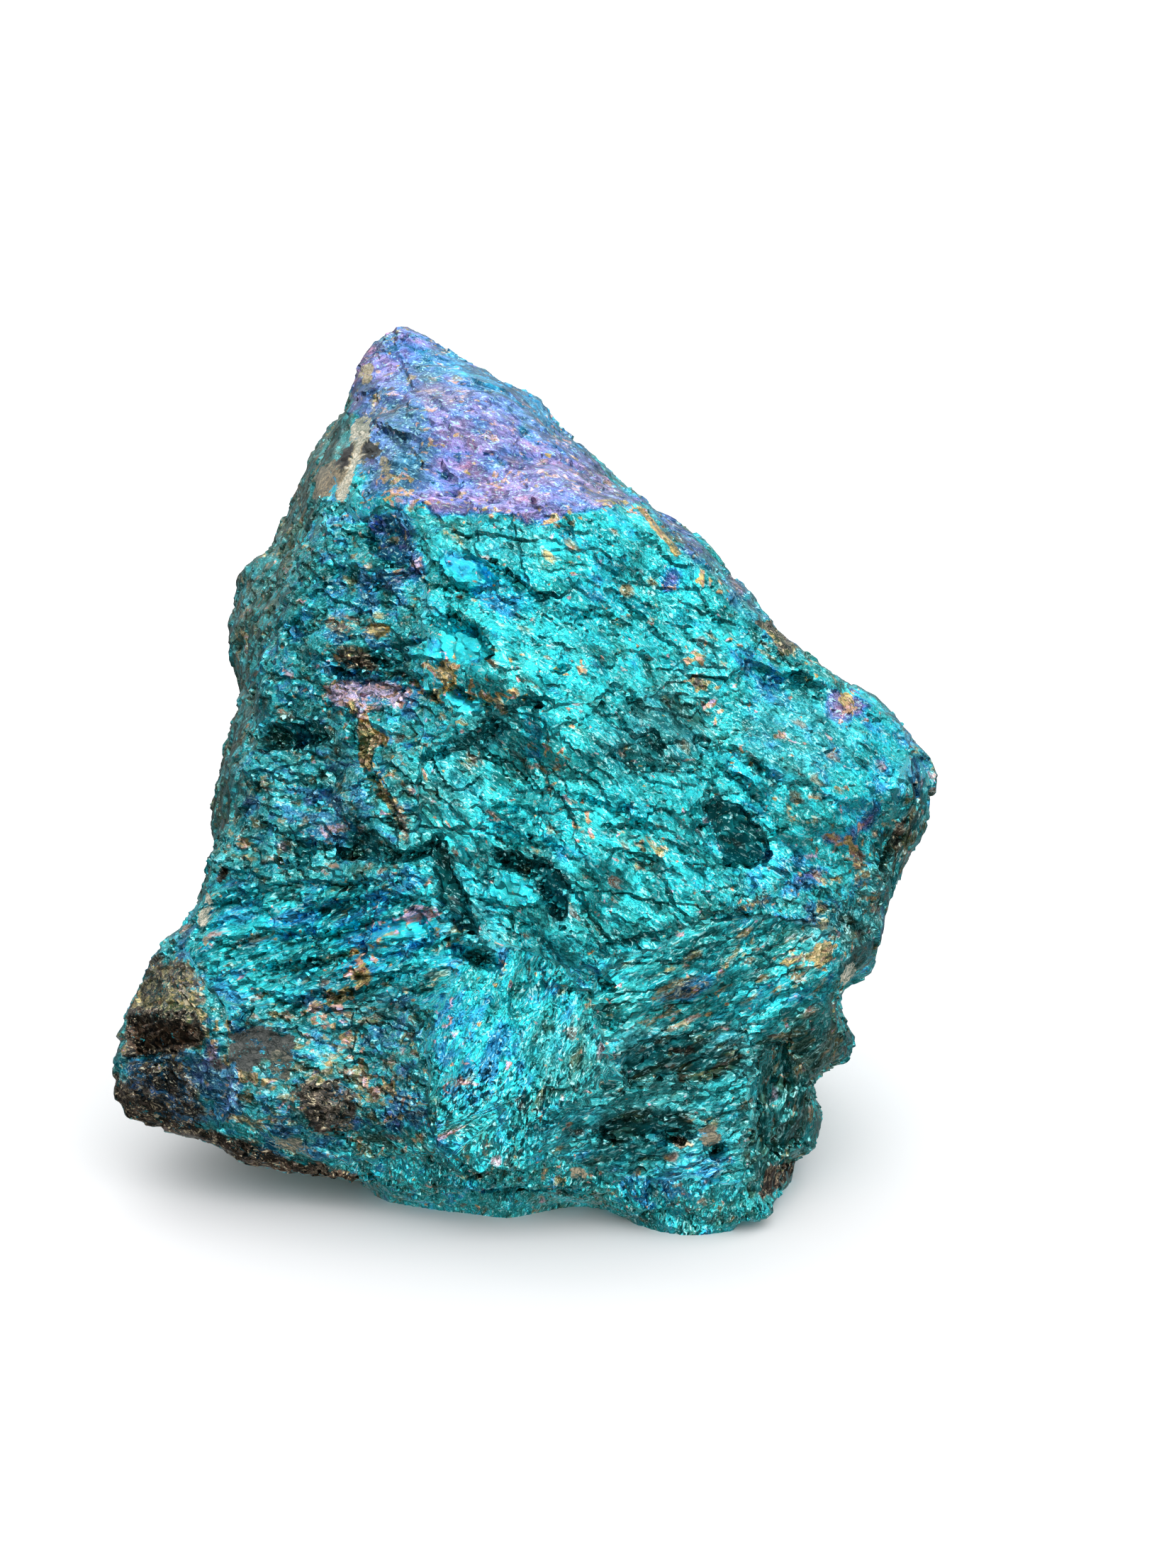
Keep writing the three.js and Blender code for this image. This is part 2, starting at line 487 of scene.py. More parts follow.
GRAINS = (
    Grain((0, -2), (10, 9), -36, flake=2.2, slope=0.13, step=0.05, film=0.77, variety=0.4, bronzed=0.25),
    Grain((-1, 9.5), (11, 6.5), -36, flake=1.8, stretch=1.6, slope=0.11, step=0.045, film=0.75,
        variety=0.45),
    Grain((12, 1), (7, 6), -30, flake=1.6, stretch=1.5, slope=0.08, step=0.035, bias=0.5, film=0.74,
        variety=0.5, bronzed=0.3),
    Grain((-14, 8), (6, 8), -14, flake=1.8, stretch=1.5, slope=0.17, step=0.07, bias=0.5, film=0.73,
        variety=1, bronzed=0.5, dim=0.3),
    Grain((-16, -2), (7, 4.5), -20, flake=1.8, stretch=1.5, slope=0.18, step=0.07, bias=0.5, film=0.76,
        variety=0.9, bronzed=0.8, dim=0.5),
    Grain((-15, -9), (8, 4.5), 14, flake=1.5, stretch=3.2, slope=0.17, step=0.06, bias=0.7, film=0.69,
        variety=0.6, bronzed=0.4),
    Grain((-15, -16), (6, 5), -15, flake=1.8, stretch=1.7, slope=0.16, step=0.08, film=0.72, variety=1.1,
        bronzed=1.1, dim=0.5, catch=0.25),
    Grain((9, -13), (9, 5.5), 24, flake=1.3, stretch=3.2, slope=0.14, step=0.045, bias=0.6, film=0.78,
        variety=0.6, bronzed=0.9, dim=0.1),
    Grain((5, -20), (8, 4), 16, flake=1.3, stretch=2.6, slope=0.15, step=0.05, bias=0.6, film=0.76,
        variety=0.7, bronzed=0.4, dim=0.4),
    Grain((-4, -15), (5, 6.5), 66, flake=1.4, stretch=2.2, slope=0.12, step=0.045, bias=0.3, film=0.71,
        variety=0.6, bronzed=0.3, catch=0.9),
    Grain((-2, -24), (16, 3.5), 82, flake=1.3, stretch=2.4, slope=0.20, step=0.07, bias=0.2, film=0.79,
        variety=0.7, bronzed=0.5, dim=0.1, catch=0.85),
    Grain((10.8, -18), (2.4, 7), 84, flake=1.4, stretch=3, slope=0.20, step=0.07, bias=0.3, film=0.86,
        variety=0.5, bronzed=0.7, dim=0.4),
    Grain((18.6, -5), (1.4, 6), 75, flake=1.6, stretch=2.4, slope=0.14, step=0.05, bias=0.3, film=0.90,
        variety=0.5, bronzed=1, dim=0.6),
    Grain((-24, -16), (4, 5.5), -20, flake=2.4, stretch=1.6, slope=0.13, step=0.06, bias=0.4, film=0.74,
        variety=0.6, bronzed=0.7, dim=0.6),
    Grain((-5, 21), (12, 6.5), -38, flake=1.7, stretch=1.6, slope=0.09, step=0.03, bias=0.4, film=0.70,
        variety=0.4, bronzed=0.35, crackle=0.6),
)
ELSEWHERE = Grain((0.0, 0.0), (1.0, 1.0), -30, flake=2.4, stretch=1.7, slope=0.13, step=0.045, bias=0.4,
                  film=0.75, variety=1.0, bronzed=0.8, dim=0.25, catch=0.5)
FIELDS = (*GRAINS, ELSEWHERE)

FEATURES: tuple[Crack | Scarp | Plate | Bowl, ...] = (
    # the bright slab under its dark overhang, and the smaller slab above it
    Plate(outline((-10.5, 7.2), (-9, 8.1), (-7.5, 9), (-6.5, 8.9), (-5.9, 8), (-5.3, 7.3), (-6, 6.9),
        (-7.7, 6.8), (-9, 7)), Fall.TO_LIGHT, 1.6, 0.8),
    Plate(outline((-12.6, 7), (-11.8, 7.9), (-10, 8.1), (-9.2, 8.3), (-8.2, 8.9), (-9.4, 8.1),
        (-10.3, 7.1), (-11.4, 6.6)), Fall.DOWN, 0.9, 0.2),
    Plate(outline((-8, 9.6), (-7.4, 10), (-6.2, 9), (-5.7, 8.5), (-6.7, 8.6), (-7.5, 9)),
        Fall.DOWN_LEFT, 0.8, 0.1),
    Plate(outline((-8.4, 12.8), (-7.2, 13), (-5.8, 12.2), (-5.1, 11.6), (-6.2, 11.2), (-7.5, 11.2),
        (-8.2, 12)), Fall.TO_LIGHT, 1, 0.5),
    Scarp(stroke((-7.2, 13.4), (-6.4, 12.7), (-5.4, 12.4), (-4.6, 12), (-3.6, 11.2), (-2.2, 10.3)),
        0.4, 1.2),
    Scarp(stroke((-8.6, 11.2), (-7, 10.9), (-5.6, 11.1), (-4.8, 11.4)), 0.35, 1),
    Crack(stroke((-9, 9.3), (-8.2, 8.9), (-7.6, 8.7))),
    # cracks below the slab, with a small island of smooth metal
    Scarp(stroke((-11.8, 6.1), (-10.6, 6.4), (-9.8, 6.1), (-9.4, 5.3), (-8.8, 4.8), (-7.8, 4.6)),
        0.4, 1.4),
    Crack(stroke((-8.6, 5.5), (-7.8, 5.45), (-7.2, 5.2), (-6.7, 4.8), (-6.3, 4.4), (-5.4, 4.2)),
        0.5, 0.2),
    Plate(outline((-8.4, 5), (-7.5, 5.2), (-6.6, 4.5), (-5.8, 3.9), (-7.2, 4), (-8.3, 4.4)),
        Fall.TO_LIGHT, 0.8, 0.4),
    Crack(stroke((-2.2, 6.35), (-1.6, 6.45), (-1, 6.7)), 0.4, 0.14),
    Crack(stroke((-1.1, 8.8), (-0.7, 9.4), (0.2, 9.7), (1.2, 9.6), (1.7, 9.1)), 0.25),
    # the main crevice
    Plate(outline((-7.6, 2.9), (-6.2, 3), (-5.4, 3.9), (-4.2, 4.6), (-3.2, 4.9), (-2.6, 4.4), (-4.2, 3.9),
        (-4.8, 3.3), (-5.9, 2.1), (-7.4, 1.9), (-9, 1.4)), Fall.DOWN_RIGHT, 0.9, 0.15),
    Scarp(stroke((-9.6, 1.6), (-7.6, 1.9), (-6, 2.1), (-4.9, 3.2), (-4.2, 3.9), (-2.6, 4.2)), 0.5, 2.2),
    Bowl((-5.3, 3), (0.9, 0.45), 0.5, 35),
    # the eye-shaped flake and the terraces below it
    Scarp(stroke((-6, -1.7), (-5, -1.3), (-4, -1.1), (-3.2, -1.5), (-2.6, -2)), 0.35, 0.9),
    Scarp(stroke((-6, -1.8), (-5, -2.3), (-4, -2.8), (-3, -3.2), (-1.8, -3.3)), 0.45, 1.2),
    Plate(outline((-5.4, -3.5), (-4.4, -3.9), (-2.2, -4), (-1.2, -5.2), (-1.1, -6.8), (-1.5, -7.8),
        (-2.1, -6.9), (-2.9, -5), (-4, -5), (-4.9, -4.4)), Fall.DOWN_LEFT, 1.2, 0.2),
    Plate(outline((-6.1, -6.4), (-5.4, -5.1), (-3.4, -4.9), (-2.4, -6.3), (-3.4, -7), (-4.8, -7)),
        Fall.TO_LIGHT, 1.2, 0.7),
    Scarp(stroke((-5.6, -6.4), (-4.4, -6.8), (-3.2, -6.8), (-2.2, -6.6)), 0.4, 0.9),
    Plate(outline((-4.1, -7.7), (-3.4, -7.5), (-2.6, -7.7), (-3.2, -8.1), (-3.9, -8)),
        Fall.DOWN, 0.5, 0.1),
    # the cliff at the left of the brow, and the black notch at its foot
    Plate(outline((-9.2, -3.6), (-8, -3.3), (-7.3, -5), (-6.9, -6.6), (-6.2, -8.2), (-7.2, -8.2),
        (-8.3, -6.8), (-8.6, -5)), Fall.DOWN_LEFT, 1, 0.2, 0.25),
    Plate(outline((-12.6, -8.2), (-9.4, -7.4), (-8.6, -8.8), (-9.6, -9.6), (-12.4, -9.5)),
        Fall.TO_LIGHT, 1.2, 0.6, 0.3),
    Plate(outline((-8, -9), (-7, -8.2), (-6, -8.7), (-4.7, -9.7), (-5, -10.1), (-6.2, -9.9),
        (-7.2, -9.5)), Fall.DOWN_LEFT, 0.6, 0.1),
    Crack(stroke((-12.4, -4.4), (-11.2, -4.1), (-10, -4.05), (-9, -3.8), (-8.4, -3.1)), 0.6, 0.25),
    Crack(stroke((-8, -9.4), (-6.8, -9.5), (-5.8, -9.9), (-4.6, -10)), 0.6, 0.3),
    Bowl((-6, -17.4), (5.2, 8), -1.7),
    Plate(outline((-8.6, -17.4), (-6.4, -17), (-4.6, -18), (-4.4, -20.2), (-6.6, -20.8), (-8.4, -19.8)),
        Fall.TO_LIGHT, 1.2, 0.6, 0.4),
    # small scarps of the middle
    Scarp(stroke((-1, -0.6), (0.4, -0.9), (1.4, -1.5), (2.6, -1.3)), 0.35, 0.9),
    Scarp(stroke((0.6, -2.5), (1.4, -2.4), (2.8, -2.1), (4.2, -2.6)), 0.35, 0.9),
    Scarp(stroke((1.4, -3.6), (2.4, -4), (3.8, -4.1)), 0.4, 0.9),
    Scarp(stroke((0.8, -8.9), (2.2, -8.7), (3.4, -8.4), (4.6, -8.3)), 0.45, 1),
    Plate(oval((1.1, -12.9), (0.9, 0.8)), Fall.DOWN, 0.5, 0.1),
    Scarp(stroke((-2, -11.2), (-1, -11.5), (0.2, -11.6)), 0.5, 1),
    Plate(oval((0.9, -11), (0.6, 0.3), -40), Fall.DOWN_LEFT, 0.4),
    # the dark shelf above the bright ledge
    Plate(outline((1, 2), (3, 3.2), (6.4, 2.6), (6.6, 1.2), (5.2, 0.7), (4, 0.8), (2.4, 0.9)),
        Fall.DOWN, 0.5, 0.1, 0.5),
    Scarp(stroke((6.6, 0.9), (5.4, 0.7), (4.2, 0.9), (3.2, 0.8), (2.2, 1.1), (1.2, 1.7)), 0.4, 0.7),
    Plate(outline((6, 2.4), (6.6, 3.4), (7.4, 3.2), (8.8, 3.4), (7.9, 2.6), (6.8, 1.9)),
        Fall.DOWN, 0.5, 0.1),
    # the dark pocket and the folds round it
    Plate(POCKET, Fall.DOWN_LEFT, 1.7, 0.3, 0.08),
    Plate(outline((5.2, -2), (6.1, -1), (7.5, -4.2), (6.4, -4.9), (5.6, -3.8)), Fall.TO_LIGHT, 0.5, 0.2),
    Scarp(stroke((6.5, -0.2), (7.2, -0.5), (8.2, -1.1), (9.1, -1.8), (9.9, -2.7)), 0.3, 0.8),
    Scarp(stroke((7, 1), (8, 0.7), (9, 0.1), (9.8, -0.9), (10.2, -1.8)), 0.3, 0.8),
    Crack(stroke((6.9, 1.9), (8.4, 1.9), (9.6, 1.2), (10.6, 0.2), (11.3, -0.8)), 0.3, 0.2),
    Plate(outline((10.3, -2.8), (10.8, -2.3), (11.6, -2.3), (11.2, -2.7)), Fall.DOWN, 0.5),
    # the notch at the right shoulder
    Scarp(stroke((9, 7.2), (10.2, 6.5), (11.2, 6.1), (12, 6.2), (13.4, 5.4)), 0.55, 1.2),
    Bowl((14.6, 5.4), (1, 0.7), 0.4),
    # hollows and scarps of the left part
    Plate(outline((-18.8, 3.3), (-17.6, 3.9), (-15.4, 3.7), (-14.6, 2.6), (-16.6, 2.2), (-18.6, 1.9)),
        Fall.DOWN, 1, 0.2),
    Plate(outline((-13.9, 3.4), (-13, 3.6), (-12.2, 2.4), (-12.6, 1.8), (-13.6, 2.2)),
        Fall.DOWN_LEFT, 0.7, 0.1),
    Scarp(stroke((-13.4, 4.2), (-12.6, 3), (-12.4, 1.6), (-12, 0.2), (-11.2, -1.2), (-10.4, -2.6)),
        0.6, 1.4),
    Plate(outline((-13, 3.7), (-12.2, 3.1), (-11.4, 2.4), (-12, 1.8), (-12, 0.4), (-12.8, 0.8)),
        Fall.TO_LIGHT, 0.9, 0.5),
    Plate(outline((-17.4, 9.4), (-16.2, 9.6), (-15.4, 8.9), (-16.2, 8.4), (-17.4, 8.4)),
        Fall.DOWN, 0.7, 0.1),
    Plate(outline((-14.9, 7.6), (-13.8, 8.1), (-12.2, 7.6), (-11.6, 6.6), (-13, 6.2), (-14.6, 6.3)),
        Fall.DOWN, 0.8, 0.1),
    Crack(stroke((-14.8, 6.1), (-13.2, 5.9), (-11.8, 6), (-10.4, 6.4))),
    Plate(outline((-13.6, 12.5), (-12.2, 12.4), (-11.6, 11.5), (-12.6, 11), (-13.8, 11.4)),
        Fall.DOWN, 0.5, 0.1),
    Plate(outline((-12.8, 14.6), (-10.6, 15.4), (-9.6, 14), (-10.8, 12.6), (-12.2, 13)),
        Fall.DOWN_LEFT, 0.7, 0.1),
    Plate(outline((-15.4, 0.6), (-13.2, 0.9), (-12.4, -0.4), (-13.2, -1.3), (-15.2, -1.2)),
        Fall.LEFT, 0.4, 0.2),
    Plate(outline((-18, -3), (-16.6, -2.6), (-15.4, -3.6), (-15.8, -4.6), (-17.6, -4.4)),
        Fall.DOWN, 0.7, 0.1),
    Plate(outline((-14.4, -2.6), (-12.6, -2.4), (-11, -3.8), (-12.6, -4.3), (-14.2, -4.2)),
        Fall.DOWN, 0.7, 0.1),
    Scarp(stroke((-21, -6.6), (-18.6, -6), (-16.4, -5.6), (-13.6, -5.6), (-10.4, -5.2), (-8.8, -5.6)),
        0.35, 0.9),
    Scarp(stroke((-17.4, -7.9), (-15.8, -7.2), (-14.4, -6.6), (-12.4, -6.4), (-9.4, -6.4)), 0.5, 0.9),
    Scarp(stroke((-19.4, -8.2), (-17, -8.5), (-15.2, -8.5), (-13.4, -7.9), (-10.6, -7.6)), 0.5, 0.9),
    Scarp(stroke((-19.2, -10.2), (-17.2, -10.3), (-14.8, -9.9), (-12.8, -9.2), (-9.8, -8.9),
        (-8.2, -8.9)), 0.5, 0.9),
    Scarp(stroke((-19.6, -11.6), (-17, -12.2), (-15.4, -11.9), (-13.2, -11.8), (-11.4, -10.9),
        (-9.2, -10.1)), 0.5, 1),
    # the toe and the round lump beside it
    Plate(outline((-26.6, -13.2), (-24.2, -13), (-22, -13.3), (-21.6, -14), (-22.2, -14.9),
        (-24.2, -15.4), (-26.2, -15.9)), Fall.DOWN, 0.9, 0.25, 0.35),
    Scarp(stroke((-21.6, -14.4), (-20.2, -14), (-18.2, -14), (-16.2, -13.8)), 0.3, 0.8),
    Bowl((-14.9, -17.8), (2.6, 2.6), -0.9),
    Scarp(stroke((-16.6, -19.2), (-15.2, -20.2), (-13.4, -20.2)), 0.35, 1),
    Plate(outline((-11.9, -12.2), (-9.6, -12), (-9.4, -13.8), (-10.6, -15), (-12, -14.2)),
        Fall.DOWN, 0.5, 0.1, 0.3),
    # the lower right
    Scarp(stroke((3, -12.8), (4.6, -12.4), (6.4, -12.1), (8.2, -11.7), (10, -10.7)), 0.3, 0.9),
    Scarp(stroke((8.4, -13.8), (9.2, -13.2), (10.2, -12.3), (11.8, -11.2)), 0.5, 1),
    Plate(outline((2, -14.6), (3.4, -14), (5.6, -13.9), (8.2, -14.4), (8.8, -16.2), (6.4, -16.7),
        (4.2, -16.4), (2.2, -17.2)), Fall.DOWN, 0.7, 0.15, 0.3),
    Plate(outline((1.6, -18.6), (3.2, -18.1), (5.2, -18.3), (6, -19.4), (5.4, -20.3), (3, -20),
        (0.6, -20.2)), Fall.DOWN, 0.9, 0.15, 0.3),
    Bowl((7.2, -20.7), (0.8, 0.5), 0.9),
    Scarp(stroke((-1, -20.4), (1.2, -19.4), (2.6, -18.6)), 0.4, 1),
    Scarp(stroke((8.6, -23.6), (9.2, -21), (9.8, -18.6), (9.6, -16.4), (9.2, -14.4)), 0.5, 1.6),
    Scarp(stroke((10.4, -21.8), (11, -18.6), (10.8, -16), (11.8, -13.6)), 0.4, 1),
    # dimples of the bottom band and the right bevel
    Plate(outline((9.6, -14.6), (11.6, -14.8), (11.8, -17.4), (11.2, -18.6), (9.8, -18)),
        Fall.RIGHT, 0.7, 0.1),
    Plate(outline((10.6, -19.4), (12.2, -18.9), (12.6, -20.8), (10.4, -21.6)), Fall.DOWN, 0.9, 0.2),
    Plate(outline((15.8, -3.2), (17.4, -2.4), (18.2, -3.2), (17, -4.6), (16.2, -4.9)),
        Fall.DOWN_RIGHT, 0.7, 0.1),
    Bowl((17.8, -0.8), (1.6, 2.6), -1),
    Bowl((16.2, -5), (1.2, 3), -0.7),
    # crest of the face and its broken rim
    Crack(stroke((-14.2, 16.2), (-11, 16), (-8.4, 15.7), (-5, 15.4), (-2.2, 14.9), (2.2, 15.6)),
        -0.35, 0.7),
    Crack(stroke((2.6, 15.6), (4.2, 14), (5.4, 12.9), (8.4, 10.2), (11.6, 7.4), (14.8, 5.2)), -0.3, 0.6),
    Scarp(stroke((-4, 19), (-1.6, 18.7), (0.2, 18.1), (1.8, 16.8)), 0.25, 1.2),
    Scarp(stroke((-8.6, 18.8), (-8, 17.7), (-7, 17)), 0.3, 1),
    Scarp(stroke((-12.4, 21), (-11, 20.2), (-9.4, 19.8)), 0.3, 1),
)


DENTS = (
    Dent((-0.2, 22), (3.6, 2.8), 0.8),
    Dent((16.4, -12.8), (3, 2.6), 1.5),
    Dent((14.8, -17.8), (2.8, 2.2), 1.4),
    Dent((12.6, -22.8), (2.4, 2), 1),
    Dent((-4.5, -24.6), (8, 2.2), 1.5),
    Dent((-12.5, -24), (3, 1.8), 1.2),
    Dent((-6.5, -25), (4.5, 2.2), 1),
    Dent((4.6, -25.6), (3, 2.4), 1),
    Dent((9.6, -24.4), (1.4, 1.4), -0.9),
)


# --- tarnish ---


class Film(float, Enum):
    """How thick the tarnish film is, as the colour it gives."""

    PINK = 0.0
    LILAC = 0.12
    VIOLET = 0.22
    PERIWINKLE = 0.32
    NAVY = 0.42
    AZURE = 0.55
    CYAN = 0.67
    TEAL = 0.78
    GREEN = 0.90
    OLIVE = 1.0


class Bronze(float, Enum):
    """The tone of the brown and golden tarnish."""

    BLACK = 0.0
    BROWN = 0.22
    GREY = 0.36
    OLIVE = 0.48
    GOLD = 0.62
    COPPER = 0.75
    ORANGE = 0.87
    PEARL = 1.0


@dataclass(frozen=True)
class Stain:
    """A patch of the face whose tarnish has its own tone."""

    patch: Patch
    tone: float
    strength: float = 1.0
    soft: float = 0.45

    def share(self, across: Array, up: Array, ragged: Array) -> Array:
        """Returns how far the patch takes over at each place on the face, with a ragged rim."""
        depth = self.patch.depth(across, up) + ragged
        return self.strength * smooth_between(-self.soft, self.soft, depth)


def spot(across: float, up: float, wide: float, high: float, tone: float,
         strength: float = 1.0, soft: float = 0.45, turn: float = 0.0) -> Stain:
    """Returns an oval stain: its middle, its two half widths and its tone, turned by degrees."""
    return Stain(oval((across, up), (wide, high), turn), tone, strength, soft)


CAP_FILM = (
    # the whole cap in violet, and a periwinkle and an azure band along its rim
    Stain(outline((-14.4, 27), (-10.8, 28.4), (-5, 24.6), (1.4, 21), (4.2, 16.8), (2.6, 16.1),
        (0.4, 15.7), (-1.6, 15.2), (-2.6, 14.6), (-4.2, 15), (-6.4, 15.5), (-8.6, 15.4), (-11.6, 16.6),
        (-13.6, 20)), Film.VIOLET - 0.06, soft=0.1),
    Stain(outline((-9, 26.8), (-4.4, 24.2), (1.6, 20.8), (3.4, 17.8), (1, 18.6), (-2, 19), (-5, 21.4),
        (-8, 23)), Film.PERIWINKLE + 0.03, soft=0.7),
    Stain(outline((-7.6, 25.2), (-3.4, 23.4), (1.6, 20.6), (3.8, 17.2), (2.6, 16.9), (0.6, 19),
        (-2.6, 21.4), (-6, 23.4)), Film.AZURE - 0.03, 0.9, 0.25),
)
